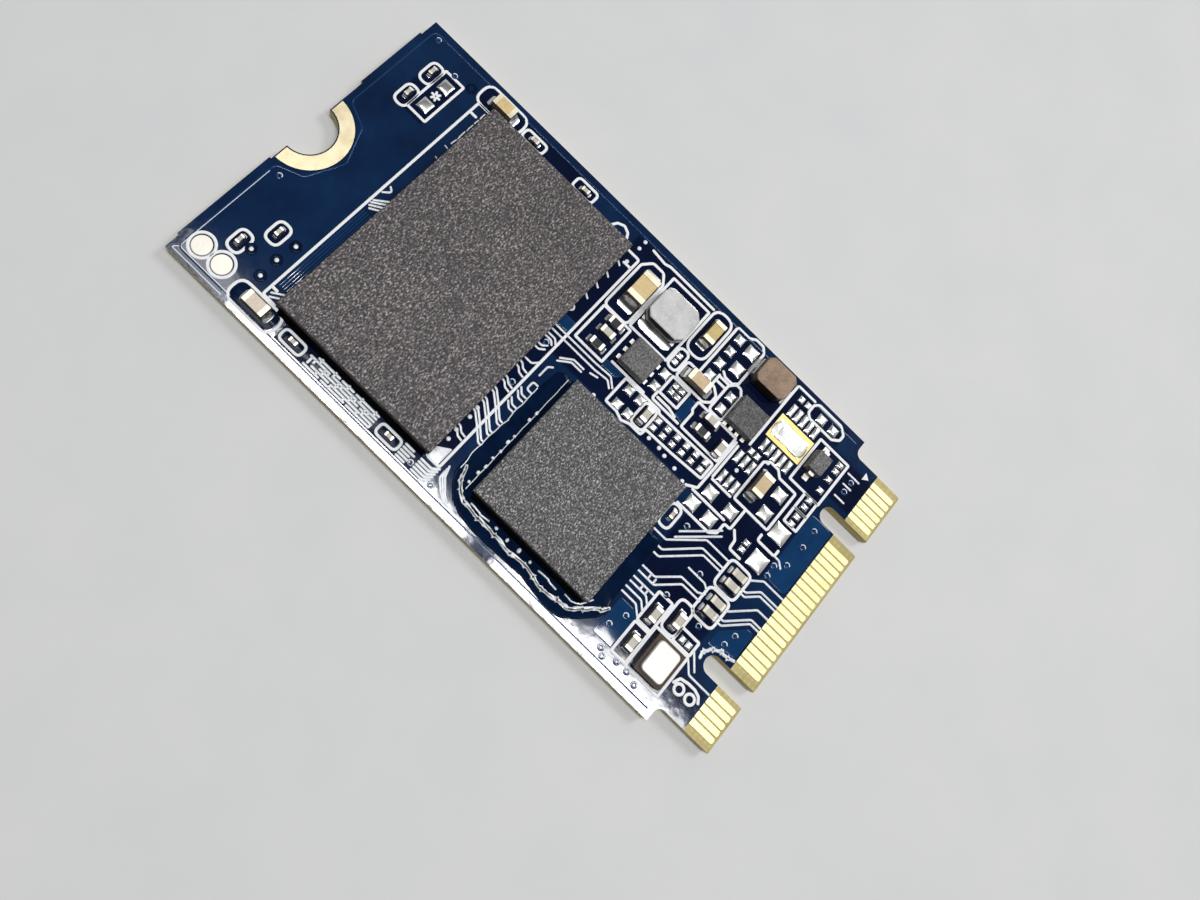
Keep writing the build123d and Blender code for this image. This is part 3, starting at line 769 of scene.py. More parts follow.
def solder_piece(name, node_name, shape, **settings):
    """The solids of a solder node, each in its round form."""
    mesh = bmesh.new()
    for solid in solids_of(node_name):
        shape(mesh, solid)
    finish_piece(name, mesh, solder, "solder", [node_name], **settings)


solder_piece("solder_pillows", "bare_solder_lands", pillow)

# Solder wiped over the empty thermal land
LAND_DROPS = (  # rise, place along the land and half sizes of each drop
    (0.07, 0.68, 0.56, 0.66), (0.055, -0.05, 0.46, 0.9), (0.075, -0.62, 0.6, 0.7))
DROP_X, DROP_SINK = -0.08, 0.005
land_low, land_high = node_box("thermal_land")
land_middle = (land_low + land_high) / 2
puddle = bmesh.new()
for rise, y, half_x, half_y in LAND_DROPS:
    spot = Vector((land_middle.x + DROP_X, land_middle.y + y, land_high.z - DROP_SINK))
    dome(puddle, spot, half_x, half_y, squareness=2.6, rise=rise, rings=6, around=32)
finish_piece("land_solder", puddle, dull_solder, "solder")

solder_piece("concave_fillets", "solder_fillets", fillet, smooth_angle=FILLET_SMOOTH)
solder_piece("flash_balls", "flash_solder_balls", ball)
solder_piece("controller_balls", "controller_solder_balls", ball)


# Copper under the mask: traces, vias and pours stand up as soft relief

TRACE = 0.135
TRACE_RISE = 0.03
TRACE_BEND = 0.25
small_vias = [
    (1.44, -17.9), (2.98, -18.0), (4.25, -17.95), (-2.4, 1.65), (0.85, 1.85), (-8.6, -11.9), (-7.6, -12.35),
    (-5.05, -13.4), (-5.05, -16.0), (-2.75, -14.15), (-1.2, -11.75), (0.1, -17.35), (0.85, -17.3),
    (-9.9, -12.4), (-10.2, -12.75), (-9.85, -13.6), (-9.85, -14.4), (-10.1, -15.2), (-10.1, 0.9),
    (-10.0, 2.6), (7.55, -17.9), (8.3, -17.9), (9.2, 17.6), (-3.4, 19.9), (10.2, 20.0), (-4.75, -17.85),
    (-3.95, -18.05),
]
large_vias = [(-8.4, 16.2), (-7.1, 16.25), (-5.75, 16.1), (-7.67, 17.7), (9.4, 16.3)]
ringed_vias = [(-8.48, -17.36), (-8.48, -18.2)]
traces = [
    # From the controller's card-edge side to the coupling capacitors and chips
    [(-6.7, -11.1), (-6.7, -12.35), (-7.15, -12.85)], [(-6.32, -11.1), (-6.32, -12.45), (-6.75, -12.9)],
    [(-5.94, -11.1), (-5.94, -12.5), (-6.25, -12.85)], [(-5.6, -11.1), (-5.6, -12.9)],
    [(-5.17, -11.1), (-5.17, -12.45), (-3.95, -13.7), (-3.95, -15.2)],
    [(-4.78, -11.1), (-4.78, -12.2), (-3.65, -13.4), (-3.65, -14.7), (-3.4, -15.2)],
    [(-3.75, -11.1), (-3.75, -11.6), (-1.78, -13.6), (-1.78, -15.0)],
    [(-3.3, -11.1), (-3.3, -11.5), (-1.5, -13.3), (-1.5, -15.0)],
    [(-2.7, -10.3), (-2.7, -11.3), (-0.95, -13.2), (-0.95, -15.1)], [(-5.94, -12.0), (-5.6, -12.0)],
    [(-5.94, -12.4), (-5.6, -12.4)], [(-5.17, -11.95), (-4.78, -11.95)], [(-5.17, -12.35), (-4.85, -12.35)],
    [(-2.2, -11.6), (-1.1, -12.75), (-0.15, -13.75)], [(-1.75, -11.6), (-0.8, -12.6), (0.15, -13.55)],
    [(-2.95, -13.4), (-2.95, -14.7), (-3.2, -15.1)],
    # Pairs from the coupling capacitors to the contacts
    [(-4.1, -16.5), (-4.1, -17.0), (-2.78, -18.3), (-2.78, -18.95)],
    [(-3.8, -16.6), (-3.8, -16.95), (-2.55, -18.2), (-2.55, -18.95)],
    [(-3.2, -16.6), (-3.2, -16.8), (-1.85, -18.15), (-1.85, -18.95)],
    [(-1.85, -16.6), (-1.85, -17.05), (-1.15, -17.75), (-1.15, -18.95)],
    [(-1.6, -16.6), (-1.6, -16.95), (-0.9, -17.65), (-0.9, -18.95)],
    [(-0.95, -16.6), (-0.3, -17.4), (-0.3, -18.95)], [(-6.9, -16.75), (-7.5, -17.3), (-7.5, -18.9)],
    [(-6.35, -16.75), (-7.15, -17.45)], [(1.3, -16.95), (1.3, -17.35), (1.0, -17.7)],
    [(6.97, -17.55), (6.97, -18.3)], [(7.92, -17.55), (7.92, -18.15)], [(8.66, -17.4), (8.66, -18.3)],
    # Fan-out between the flash memory and the controller
    [(-2.1, 0.35), (-2.1, 0.75), (-1.5, 0.75), (-1.5, 0.4)], [(-0.75, 2.1), (-0.75, 1.6), (-0.4, 1.3)],
    [(-0.95, 0.75), (-0.2, 0.75), (0.0, 0.5)], [(0.2, 2.4), (0.2, 1.9), (0.45, 1.6)],
    [(0.5, 2.4), (0.5, 1.9), (0.75, 1.65)], [(1.15, 2.4), (1.15, 1.7), (0.95, 1.5)],
    [(1.4, 2.4), (1.4, 1.6), (1.15, 1.35)], [(1.75, 2.4), (1.75, -1.4), (1.87, -2.4), (1.55, -2.8)],
    [(2.1, 2.4), (2.1, -1.2), (2.18, -2.4), (1.7, -2.95)], [(0.5, 0.6), (1.05, -0.1), (1.05, -0.9)],
    [(0.75, 0.6), (1.28, -0.1), (1.28, -0.9)], [(1.4, -1.35), (1.52, -1.85)],
    [(3.25, 2.4), (3.6, 1.95), (3.95, 2.4)],
    # Bundle at the screw side of the flash memory
    [(-0.95, 14.95), (-0.5, 14.2)], [(-0.8, 15.1), (-0.2, 14.2)], [(-0.6, 15.15), (0.1, 14.2)],
    [(-0.4, 15.15), (0.4, 14.2)], [(0.35, 15.15), (0.75, 14.75), (0.95, 15.05)],
    [(-8.9, 14.95), (-8.6, 14.5)], [(-8.65, 15.05), (-8.25, 14.45)],
]
for step in range(3):  # round the corner of the resin
    out = 0.2 * step
    traces.append([(-8.6 - out, 0.85), (-9.2 - 0.6 * out, 0.62 + 0.5 * out),
                   (-9.9 - 0.3 * out, -0.05 + 0.6 * out), (-10.3, -0.6 + 0.8 * out)])
for x in (4.75, 5.75, 6.75, 7.85):  # stubs along the flash memory's near edge
    traces.append([(x + 0.32, 2.4), (x, 1.92)])
for x in (-5.15, -4.9, -4.4, -4.15, -3.55, -3.3):  # long slants across the gap
    traces.append([(x, 2.4), (x - 0.1, 2.0), (x - 0.55, 1.45), (x - 1.3, 0.62), (x - 1.3, 0.45)])
for x in (-7.0, -6.7, -2.95, -2.65, -1.7, -1.35):  # bends beside them
    traces.append([(x + 0.3, 2.4), (x + 0.22, 2.0), (x, 1.75), (x - 0.05, 1.42)])
for x in (-3.7, -3.4, -2.85, -2.55):  # and on to the controller
    traces.append([(x + 0.3, 1.05), (x, 0.75), (x, 0.42)])

# The bundle along the left edge, broken by the capacitors that stand on it, with links between its lines
BUNDLE_X, BUNDLE_PITCH, BUNDLE_LINES, BUNDLE_TRACE = -10.25, 0.21, 5, 0.165
LINK_Y, LINK_PITCH, LINKS = 5.7, 0.265, 20
bundle = []
for step in range(BUNDLE_LINES):
    x = BUNDLE_X + BUNDLE_PITCH * step
    breaks = (11.0 - 0.45 * (step % 3), 9.6 - 0.3 * (step * 2 % 5), 7.6 - 0.35 * (step * 3 % 4), 5.6)
    for top, bottom in zip(breaks, breaks[1:]):
        bundle.append([(x, top - 0.14), (x, bottom + 0.1)])
    bundle += [[(x, 3.5), (x, 2.9 - 0.2 * (step % 2))], [(x, 2.3), (x, 1.5), (x + 0.3, 1.15)]]
for step in range(LINKS):
    x = BUNDLE_X + BUNDLE_PITCH * (step * 7 % 4)
    y = LINK_Y + LINK_PITCH * step
    bundle.append([(x, y), (x + BUNDLE_PITCH * (1 + step % 2), y)])

FRAME_LINE = 0.06
VIA_GLINT = range(-75, 76, 25)  # degrees
GLINT_RISE = 0.034
DOT, DOT_RISE = 0.14, 0.04
# Painted highlights: pale lines along the border ridge at the far left corner and along the edge of the key
# slot.
frame_glint_lines = [
    [(-10.42, 13.2), (-10.42, 20.5), (-3.6, 20.5)], [(-10.75, 16.9), (-10.75, 20.8), (-10.45, 20.5)],
]
slot_edge_glint = [(-6.3, -17.2), (-5.9, -17.1), (-5.43, -17.5), (-5.17, -17.97), (-5.2, -18.5), (-5.03, -18.85)]
# Painted sheen: a pale plate over one pour.
pour_sheen = [(-9.1, 1.4), (-7.75, 1.4), (-8.35, 2.3), (-9.1, 2.3)]
# Painted highlights: pale domes at the middle of four large vias and at other spots, for glints.
dots = large_vias[:4] + [
    (1.07, -6.6), (1.07, -7.45), (0.95, -8.0), (0.83, -8.95), (-8.4, 2.05), (-7.5, 2.0), (-6.8, 2.05),
    (-5.7, 2.0), (-5.0, 2.05), (0.55, -2.4), (0.6, -9.8), (8.4, 1.75), (9.65, 1.75), (10.25, 1.75),
    (5.35, -13.1), (3.55, -11.9),
]
# This whole piece takes the near-white trace colour: painted highlights on the relief.
wires = bmesh.new()
for paths, width, rise in ((traces, TRACE, TRACE_RISE), (bundle, BUNDLE_TRACE, TRACE_RISE),
                           (frame_glint_lines, FRAME_LINE, TRACE_RISE / 2)):
    for path in paths:
        ribbon(wires, rounded(path, TRACE_BEND), width, rise)
ribbon(wires, wavy(rounded(slot_edge_glint, TRACE_BEND), swing=0.025, beat=0.9), width=0.2, height=TRACE_RISE)
# Painted highlight: a pale arc on the lit side of each small via.
for x, y in small_vias:  # the bright side of each small via
    ribbon(wires, arc_path(x, y, 0.17, VIA_GLINT), width=0.07, height=GLINT_RISE)
plate(wires, rounded(pour_sheen, 0.08, closed=True), height=0.014, edge=0.06)
for x, y in dots:
    dome(wires, Vector((x, y, BOARD_TOP)), DOT, DOT, squareness=2.0, rise=DOT_RISE, rings=3, around=14)
finish_piece("trace_relief_painted_highlight", wires, trace_highlight, "blue_mask_board")

POUR_RISE, POUR_EDGE = 0.01, 0.08
LINE_RISE = 0.02
pours = [  # corner radius and corners
    (0.15, [(-9.55, -12.85), (-7.35, -12.85), (-7.0, -12.45), (-7.0, -11.45), (-9.55, -11.45)]),
    (0.3, [(-0.05, -17.6), (-0.05, -18.85), (5.0, -18.85), (5.0, -17.2), (0.35, -17.2)]),
    (0.2, [(-5.05, -18.0), (-4.95, -18.85), (-3.1, -18.85), (-3.1, -18.4), (-4.4, -17.1), (-5.5, -17.0)]),
    (0.1, [(2.3, -2.6), (2.8, -3.0), (2.8, -1.5), (2.3, -1.5)]),
    (0.1, [(3.2, -7.45), (4.85, -7.35), (4.85, -6.8), (3.35, -6.8)]),
    (0.1, [(2.25, 1.35), (3.05, 1.35), (3.05, 2.3), (2.25, 2.3)]),
]
border = [
    (-10.5, -16.6), (-10.5, 20.55), (-3.1, 20.55), (-2.4, 18.9), (0, 17.85), (2.4, 18.9), (3.1, 20.55),
    (10.5, 20.55), (10.5, -16.6),
]
copper = bmesh.new()
for x, y in small_vias:
    ribbon(copper, ring_path(x, y, radius=0.15, steps=20), width=0.14, height=TRACE_RISE, closed=True)
for radius, corners in pours:
    plate(copper, rounded(corners, radius, closed=True), POUR_RISE, POUR_EDGE)
ribbon(copper, rounded(border, 0.4), width=0.1, height=LINE_RISE)
for y in (15.05, 14.87, 14.69, 14.51):  # lines along the flash memory's far edge
    ribbon(copper, [(-8.0, y), (-1.3, y)], width=0.09, height=LINE_RISE)
finish_piece("copper_relief", copper, copper_mask, "blue_mask_board")

# Painted shade: dark rings at the tented vias, and dark plates under the bundle and inside some footprints
SHADE_RISE = 0.018
footprints = [  # two corners and the corner radius
    (-10.5, 13.5, -9.26, 16.72, 0.55), (-10.12, 11.45, -9.53, 12.8, 0.25),
    (-10.12, 3.85, -9.53, 5.15, 0.25), (-4.65, -16.6, -2.85, -15.15, 0.3),
    (-2.5, -16.6, -0.73, -15.15, 0.3),
]
painted_shade = bmesh.new()
for x, y in large_vias:
    ribbon(painted_shade, ring_path(x, y, radius=0.27, steps=24), width=0.24, height=TRACE_RISE, closed=True)
for x, y in ringed_vias:
    ribbon(painted_shade, ring_path(x, y, radius=0.11, steps=16), width=0.2, height=SHADE_RISE, closed=True)
plate(painted_shade, box_path(-10.38, 1.6, -9.25, 13.1, 0.1), height=0.008, edge=0.03)
for footprint in footprints:
    plate(painted_shade, box_path(*footprint), height=0.036, edge=0.04)
finish_piece("via_and_footprint_shade", painted_shade, underfill_and_painted_shade, "blue_mask_board")

# Copper under the mask of the underside: pours, pairs from the contacts, and rows of vias
UNDER_RISE = 0.01
FIELD_RISE = 0.006
UNDER_BEND = 0.3
BELOW = {"base": 0.0, "up": -1}
PAIRS, PAIR_PITCH, PAIR_JOG, PAIR_HALF = 5, 1.5, 1.7, 0.13
fields = [
    [(1.6, -16.6), (9.4, -16.6), (9.4, 1.6), (2.6, 1.6), (2.6, -7.0), (1.6, -8.0)],
    [(-9.6, 3.0), (9.4, 3.0), (9.4, 16.2), (4.2, 16.2), (3.2, 17.2), (-9.6, 17.2)],
    [(-9.4, -16.4), (-6.9, -16.4), (-6.9, -10.6), (-9.4, -10.6)],
]
under_vias = [(x, y) for x in (-8.0, -5.6, -3.2, -0.8, 1.6, 4.0, 6.4, 8.4) for y in (4.2, 8.2, 12.2, 15.4)]
under_vias += [(side * 10.3, -14.0 + 2.75 * step) for side in (-1, 1) for step in range(12)]
under_vias += [(x, y) for x in (3.2, 5.0, 6.8, 8.6) for y in (-15.2, -12.0, -8.8, -5.6, -2.4, 0.6)]
under_vias += [(-8.6 + 1.05 * step, -9.4 + 0.4 * (step % 2)) for step in range(8)]
under_traces = []
for pair in range(PAIRS):
    x = -3.6 + PAIR_PITCH * pair
    shift = 0.4 * pair
    top = -8.4 + 1.6 * pair
    for side in (-PAIR_HALF, PAIR_HALF):
        jogged = x - PAIR_JOG + side
        under_traces.append([(x + side, -18.85), (x + side, -17.0 + shift),
                             (jogged, -15.3 + shift), (jogged, top)])
        under_vias.append((x - PAIR_JOG + 2.2 * side, top + 0.25))
for step in range(6):
    x = -7.6 + 0.55 * step
    drop = 0.3 * step
    under_traces.append([(x, -8.0), (x, -1.2 - drop), (x + 0.9, -0.3 - drop), (x + 0.9, 2.6)])
under = bmesh.new()
for corners in fields:
    plate(under, rounded(corners, 0.4, closed=True), FIELD_RISE, edge=0.1, **BELOW)
for path in under_traces:
    ribbon(under, rounded(path, UNDER_BEND), TRACE, UNDER_RISE, **BELOW)
for x, y in under_vias:
    ribbon(under, ring_path(x, y, radius=0.17, steps=16), 0.15, UNDER_RISE, closed=True, **BELOW)
finish_piece("underside_relief", under, copper_mask, "blue_mask_board")


# Resin, a painted shadow and painted highlights

# Resin that has run out from under the controller: it dips towards the package
apron = [
    (0.25, -1.2), (0.25, 0.1), (-1.5, 0.3), (-4.2, 0.25), (-7.0, 0.5), (-8.5, 0.5), (-9.2, 0.1),
    (-9.8, -0.5), (-10.2, -1.4), (-10.33, -2.6), (-10.28, -5.0), (-10.2, -6.3), (-10.38, -7.4),
    (-10.52, -8.6), (-10.38, -9.5), (-9.7, -10.35), (-8.9, -11.1), (-8.3, -11.45), (-7.6, -11.2),
    (-3.0, -11.2), (-2.9, -10.3), (0.2, -9.9),
]
APRON_SLOPE = (  # share of the way in, and height
    (0.0, 0.0), (0.015, 0.04), (0.035, 0.06), (0.06, 0.06), (0.09, 0.055), (0.5, 0.03), (1.0, 0.004))
APRON_INNER = 0.49  # share of the controller's size at which the resin ends, under the package
APRON_NARROWEST = 0.97
controller_low, controller_high = node_box("controller_package")
controller_middle = ((controller_low + controller_high) / 2).xy
controller_size = controller_high - controller_low
edge_path = rounded(apron, 0.5, closed=True)[::-1]
resin = bmesh.new()
slope = []
for share, height in APRON_SLOPE:
    ring = []
    for point in edge_path:
        out = point - controller_middle
        reach = APRON_INNER / max(abs(out.x) / controller_size.x, abs(out.y) / controller_size.y)
        at = controller_middle + out * (1 + (min(reach, APRON_NARROWEST) - 1) * share)
        ring.append(vertex(resin, *at, BOARD_TOP + height))
    slope.append(ring)
loft(resin, slope)
finish_piece("underfill_apron", resin, underfill_and_painted_shade, "underfill_resin")

# Painted shadow: a near-black strip against the low-x side of each large package, for its wall in shade and
# its cast shadow
SHADOW_WIDTH, SHADOW_RISE, SHADOW_END = 0.32, 0.3, 0.2
SHADOW_SECTION = ((-1.0, 0.0), (-0.6, 0.3), (-0.2, 0.7), (0.05, 1.0), (0.05, 0.0))  # shares of width and rise
shadow_strip = bmesh.new()
for name in ("flash_package", "controller_package"):
    low, high = node_box(name)
    ends = [[vertex(shadow_strip, low.x + out * SHADOW_WIDTH, y, BOARD_TOP + up * SHADOW_RISE)
             for out, up in SHADOW_SECTION] for y in (low.y + SHADOW_END, high.y - SHADOW_END)]
    loft(shadow_strip, ends)
finish_piece("package_shadow_strip", shadow_strip, shadow_black, "underfill_resin")

# Painted highlights: ridges and beads along the edge of the resin and beside the packages, coloured near
# white for the glints they catch
GLINT_BEND = 0.6
GLINT_BEAT = 0.27
STRAND_RISE = 0.12
BEAD_BASE, BEAD_RISE = 0.05, 0.09
glint_lines = (  # width, height, swing and the points of each line
    (0.08, 0.07, 0.03, [(-1.6, 0.34), (-4.2, 0.3), (-6.5, 0.44), (-8.2, 0.36)]),
    (0.07, 0.06, 0.012, [(-8.85, -0.7), (-6.0, -0.68), (-3.0, -0.71), (0.1, -0.68)]),
    (0.12, 0.11, 0.02, [(-9.25, -1.5), (-9.3, -2.2), (-9.25, -2.9)]),
    (0.12, 0.11, 0.02, [(-9.3, -6.9), (-9.25, -7.6), (-9.35, -8.3)]),
    (0.1, 0.11, 0.02, [(-9.2, -8.9), (-9.25, -9.5), (-8.9, -9.95), (-8.3, -10.35)]),
    (0.07, 0.06, 0.0, [(5.36, 14.75), (5.32, 14.5)]), (0.06, 0.05, 0.0, [(4.4, 14.62), (4.36, 14.5)]),
    (0.1, 0.06, 0.03, [(5.75, 14.56), (6.15, 14.5)]), (0.1, 0.06, 0.03, [(6.3, 14.5), (6.95, 14.54)]),
    (0.09, 0.06, 0.03, [(7.1, 14.5), (7.65, 14.52)]), (0.1, 0.06, 0.03, [(7.8, 14.52), (8.15, 14.49)]),
    (0.1, 0.06, 0.03, [(8.3, 14.5), (8.75, 14.52)]),
)
rim_points = [
    (-7.9, 0.2), (-8.7, -0.13), (-9.15, -0.53), (-9.47, -1.13), (-9.6, -2.33), (-9.6, -3.67), (-9.73, -5.0),
    (-9.6, -6.07), (-9.75, -6.87), (-9.93, -7.67), (-9.73, -8.73), (-9.6, -9.67), (-9.07, -10.2),
    (-8.4, -11.0), (-8.0, -11.35),
]
rim_strands = ((0.2, 0.05, 0.31), (0.18, 0.03, 0.83), (0.12, 0.07, 0.13))  # width, swing, beat; they cross
glint_beads = [
    (-8.45, -0.55), (-7.7, -0.58), (-7.15, -0.66), (-6.5, -0.62), (-5.9, -0.68), (-5.2, -0.62),
    (-4.7, -0.66), (-3.35, -0.64), (-2.75, -0.68), (-9.25, -3.5), (-9.3, -4.4), (-9.25, -5.3),
    (-9.28, -6.2),
]
glints = bmesh.new()
for width, height, swing, points in glint_lines:
    ribbon(glints, wavy(rounded(points, GLINT_BEND), swing, GLINT_BEAT), width, height)
for width, swing, beat in rim_strands:
    ribbon(glints, wavy(rounded(rim_points, GLINT_BEND), swing, beat), width, STRAND_RISE)
for index, (x, y) in enumerate(glint_beads):
    half_x = 0.1 + 0.03 * (index % 3)
    half_y = 0.1 + 0.02 * (index % 2)
    spot = Vector((x, y, BOARD_TOP + BEAD_BASE))
    dome(glints, spot, half_x, half_y, squareness=2.2, rise=BEAD_RISE, rings=4, around=16)
finish_piece("resin_edge_glints", glints, painted_glint_glaze, "underfill_resin")


# White print

INK = 0.185
INK_RISE = 0.022
INK_BEND = 0.16
STAR_X, STAR_Y, STAR_REACH, STAR_INK = 7.29, 17.43, 0.28, 0.17
boxes = [  # two corners and the corner radius
    # Screw end and the strips beside the flash memory
    (-8.55, 17.97, -7.08, 18.97, 0.45), (-6.65, 16.85, -5.18, 17.87, 0.45), (5.2, 18.2, 6.78, 19.17, 0.45),
    (7.41, 18.2, 8.98, 19.17, 0.45), (5.54, 16.68, 9.04, 18.2, 0.06), (-10.6, 13.35, -9.15, 16.83, 0.65),
    (9.05, 12.25, 10.6, 15.77, 0.65), (9.45, 10.3, 10.2, 12.05, 0.3), (9.45, 5.9, 10.3, 7.6, 0.3),
    (-10.2, 11.3, -9.45, 12.95, 0.3), (-10.2, 3.7, -9.45, 5.3, 0.3),
    # Power circuit
    (2.45, -1.38, 5.22, 0.87, 0.06), (5.45, -4.22, 9.85, -1.12, 0.06), (5.33, -5.12, 6.85, -4.35, 0.35),
    (7.0, -5.95, 10.5, -4.45, 0.7), (3.68, -6.65, 5.05, -5.2, 0.06), (1.0, -6.0, 2.66, -5.02, 0.35),
    (5.66, -17.12, 9.02, -14.72, 0.06), (3.4, -17.05, 4.5, -16.05, 0.05), (4.5, -17.05, 5.66, -16.05, 0.05),
    # Beside and below the controller
    (-2.27, -11.0, -0.68, -10.15, 0.4), (-9.6, -14.03, -7.42, -12.95, 0.1),
    (-7.28, -14.03, -5.2, -12.95, 0.1), (-9.65, -16.65, -6.8, -14.1, 0.08),
    (-6.7, -16.65, -5.75, -15.3, 0.1), (-6.65, -15.3, -4.5, -14.2, 0.4), (-4.75, -16.7, -2.75, -15.05, 0.4),
    (-2.6, -16.7, -0.63, -15.05, 0.4),
]
shapes = [  # closed outlines: the corner radius and the corners
    (0.35, [(5.3, -0.93), (8.95, -0.93), (9.6, -0.45), (9.6, 0.45), (8.95, 0.97), (5.3, 0.97)]),
    (0.25, [(5.2, -5.28), (6.48, -5.28), (6.48, -7.5), (6.1, -8.0), (5.55, -8.0), (5.2, -7.6)]),
    (0.25, [(5.15, -8.15), (7.2, -8.15), (7.62, -8.5), (7.62, -8.9), (7.2, -9.22), (5.15, -9.22)]),
    (0.1, [(3.05, -7.58), (4.2, -7.58), (4.4, -7.42), (5.02, -7.42), (5.02, -10.62), (3.05, -10.62)]),
    (0.12, [(0.85, -3.15), (2.8, -3.15), (2.8, -5.95), (2.64, -6.1), (2.74, -10.55), (1.55, -10.55),
            (1.38, -8.2), (1.32, -6.12), (0.85, -6.05), (0.85, -5.15), (0.64, -4.6), (0.85, -4.05)]),
    (0.25, [(9.75, -13.05), (10.4, -13.05), (10.66, -13.35), (10.66, -15.2), (10.3, -15.7), (9.85, -15.7),
            (9.5, -15.25), (9.5, -13.35)]),
    (0.12, [(2.15, -12.85), (5.2, -12.85), (5.52, -13.2), (5.52, -13.85), (5.16, -14.25), (5.16, -15.62),
            (2.15, -15.62)]),
]
lines = [
    # Flash memory: long lines at both ends, with corner ticks and a mark beside it
    [(-9.05, 14.4), (-9.05, 15.33), (9.04, 15.33), (9.04, 14.4)], [(-8.37, 15.3), (-8.37, 14.9)],
    [(8.2, 15.3), (8.2, 14.8)], [(-9.05, 2.1), (-9.05, 1.25), (9.04, 1.25), (9.04, 2.25)],
    [(8.22, 1.25), (8.22, 1.85)], [(9.4, 2.7), (9.85, 2.95), (10.05, 3.4), (9.85, 3.85), (9.4, 4.1)],
    # Power circuit
    [(10.23, 1.0), (10.12, -0.1), (10.25, -0.5), (10.23, -4.3)], [(2.93, -1.85), (2.93, -4.5)],
    [(5.4, -11.5), (10.6, -11.5), (10.6, -12.95)], [(6.5, -7.3), (7.3, -7.3)], [(6.9, -7.35), (6.9, -8.05)],
    [(7.25, -7.35), (7.25, -8.05)],
    [(6.55, -6.2), (10.55, -6.2), (10.55, -7.2), (10.82, -7.6), (10.82, -8.2), (10.45, -8.55),
     (7.75, -8.55), (7.45, -8.25), (7.45, -7.65), (7.65, -7.35)],
    [(3.6, -5.12), (3.05, -5.12), (3.05, -7.3)], [(3.35, -5.35), (3.35, -6.3), (3.2, -6.9)],
    [(0.6, -10.1), (0.98, -10.76), (4.85, -10.8)], [(2.2, -11.02), (4.75, -11.02)],
    # Card-edge side of the controller
    [(-0.55, -10.4), (-0.55, -12.95), (-0.2, -13.38), (0.55, -13.38), (0.55, -13.85), (2.05, -13.85)],
    [(0.7, -10.6), (0.7, -13.2)], [(2.05, -11.1), (2.05, -12.6)],
    [(-0.35, -15.4), (-0.35, -14.55), (0.25, -14.5), (0.7, -14.1)],
    [(1.7, -15.55), (1.28, -15.55), (1.28, -16.95), (1.7, -16.95)],
    [(-8.4, -16.87), (-7.98, -17.05), (-7.87, -17.6), (-7.87, -18.1), (-8.0, -18.5), (-8.3, -18.72)],
]
circles = [(-9.5, 19.7, 0.78), (-9.5, 18.12, 0.78)] + [(x, y, 0.3) for x, y in ringed_vias]
edge_mark = [(9.27, -18.68), (9.55, -18.28), (8.99, -18.28)]
closed_paths = [box_path(*box) for box in boxes]
closed_paths += [rounded(corners, radius, closed=True) for radius, corners in shapes]
closed_paths += [ring_path(*circle, steps=32) for circle in circles]
printed = bmesh.new()
for path in closed_paths:
    ribbon(printed, path, INK, INK_RISE, closed=True)
for path in lines:
    ribbon(printed, rounded(path, INK_BEND), INK, INK_RISE)
for turn in (30, 90, 150):  # polarity mark between two empty lands
    ribbon(printed, arc_path(STAR_X, STAR_Y, STAR_REACH, (turn + 180, turn)), STAR_INK, INK_RISE)
plate(printed, edge_mark, INK_RISE, edge=0.01)
finish_piece("white_print", printed, ink, "white_print")


# Stage, lamps and camera, in metres

FLOOR_HALF, FLOOR_DROP = 1.5, 0.00003
floor_mesh = bmesh.new()
bmesh.ops.create_grid(floor_mesh, x_segments=1, y_segments=1, size=FLOOR_HALF)
floor_data = bpy.data.meshes.new("floor")
floor_mesh.to_mesh(floor_data)
floor_mesh.free()
floor = bpy.data.objects.new("floor", floor_data)
floor.location.z = -FLOOR_DROP
bpy.context.scene.collection.objects.link(floor)
floor_data.materials.append(varied("pale_floor", (0.66, 0.665, 0.67), (0.7, 0.7, 0.7), 6.0, 0.75, 0.03,
                                   bump_depth=0.01, bump_strength=0.1, specular=0.2))

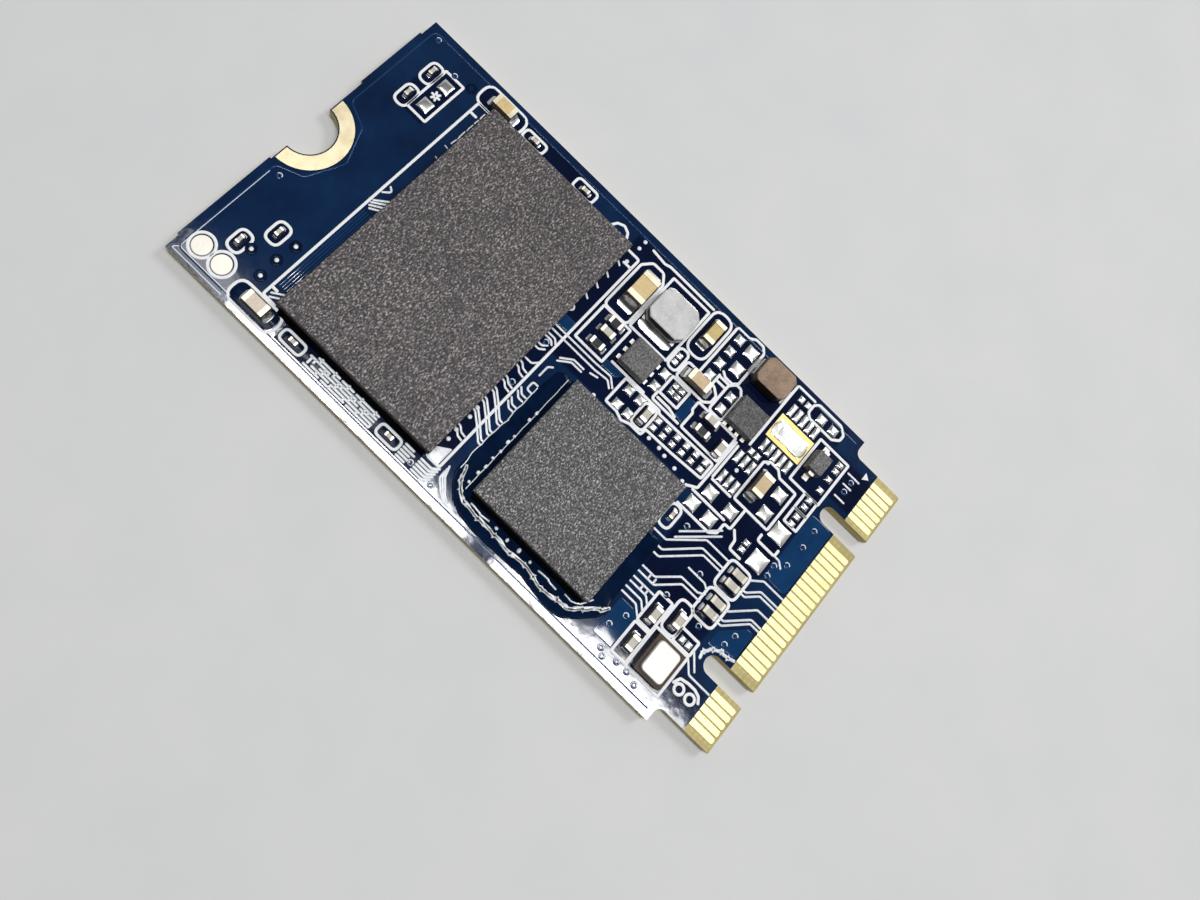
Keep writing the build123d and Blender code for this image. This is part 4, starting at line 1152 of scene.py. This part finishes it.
# A sky that is pale at the horizon, dark overhead and dim on one side
SKY_STOPS = (0.0, 0.55, 0.8, 1.0)
SKY_TONES = ((0.4, 0.4, 0.4), (0.35, 0.355, 0.36), (0.08, 0.083, 0.087), (0.05, 0.052, 0.055))
SKY_DIM, SKY_BRIGHT = 0.08, 1.3
world = bpy.data.worlds.new("studio")
bpy.context.scene.world = world
world.use_nodes = True
sky = world.node_tree
direction = axes(sky, add_node(sky, "ShaderNodeTexCoord").outputs["Generated"])
dimmer = map_range(sky, direction["X"], -0.7, 0.7, SKY_DIM, SKY_BRIGHT)
horizon = map_range(sky, direction["Z"], 0.04, 0.16, SKY_BRIGHT, 0.0)
background = sky.nodes["Background"]
link(sky, ramp(sky, direction["Z"], SKY_STOPS, SKY_TONES), background, "Color")
link(sky, math_node(sky, "MAXIMUM", dimmer, horizon), background, "Strength")

LAMP_HEIGHT = 0.3
lamps = (  # name, middle, size and radiance
    ("overhead_softbox", (-0.004, 0.0), (0.034, 0.2), 17.0),
    ("key_lamp", (0.275, -0.145), (0.13, 0.13), 9.0),
    ("strip_lamp", (0.0257, 0.0315), (0.0054, 0.133), 56.0),
    ("near_strip_lamp", (0.0257, -0.0955), (0.0054, 0.093), 56.0),
    ("corner_lamp", (0.0282, -0.1235), (0.0106, 0.055), 18.0),
    ("far_strip_lamp", (0.029, 0.115), (0.012, 0.03), 5.0),
)
for name, (x, y), (width, length), radiance in lamps:
    lamp_data = bpy.data.lights.new(name, "AREA")
    lamp_data.shape = "RECTANGLE"
    lamp_data.size = width
    lamp_data.size_y = length
    lamp_data.energy = radiance * math.pi * width * length
    lamp = bpy.data.objects.new(name, lamp_data)
    lamp.location = (x, y, LAMP_HEIGHT)
    if name == "key_lamp":
        lamp.rotation_euler = (-lamp.location).to_track_quat("-Z", "Y").to_euler()
    bpy.context.scene.collection.objects.link(lamp)

CAMERA_PLACE = (-0.01667, 0.00274, 0.05027)
CAMERA_TURN = (11.96, -11.21, -46.63)  # degrees
CAMERA_SHIFT = (0.084, -0.072)
LENS, SENSOR = 26.18, 36  # millimetres
NEAREST = 0.001
camera_data = bpy.data.cameras.new("camera")
camera_data.sensor_width = SENSOR
camera_data.lens = LENS
camera_data.shift_x, camera_data.shift_y = CAMERA_SHIFT
camera_data.clip_start = NEAREST
camera = bpy.data.objects.new("camera", camera_data)
camera.location = CAMERA_PLACE
camera.rotation_euler = Euler([math.radians(turn) for turn in CAMERA_TURN])
bpy.context.scene.collection.objects.link(camera)
bpy.context.scene.camera = camera
bpy.context.scene.view_settings.view_transform = "Standard"
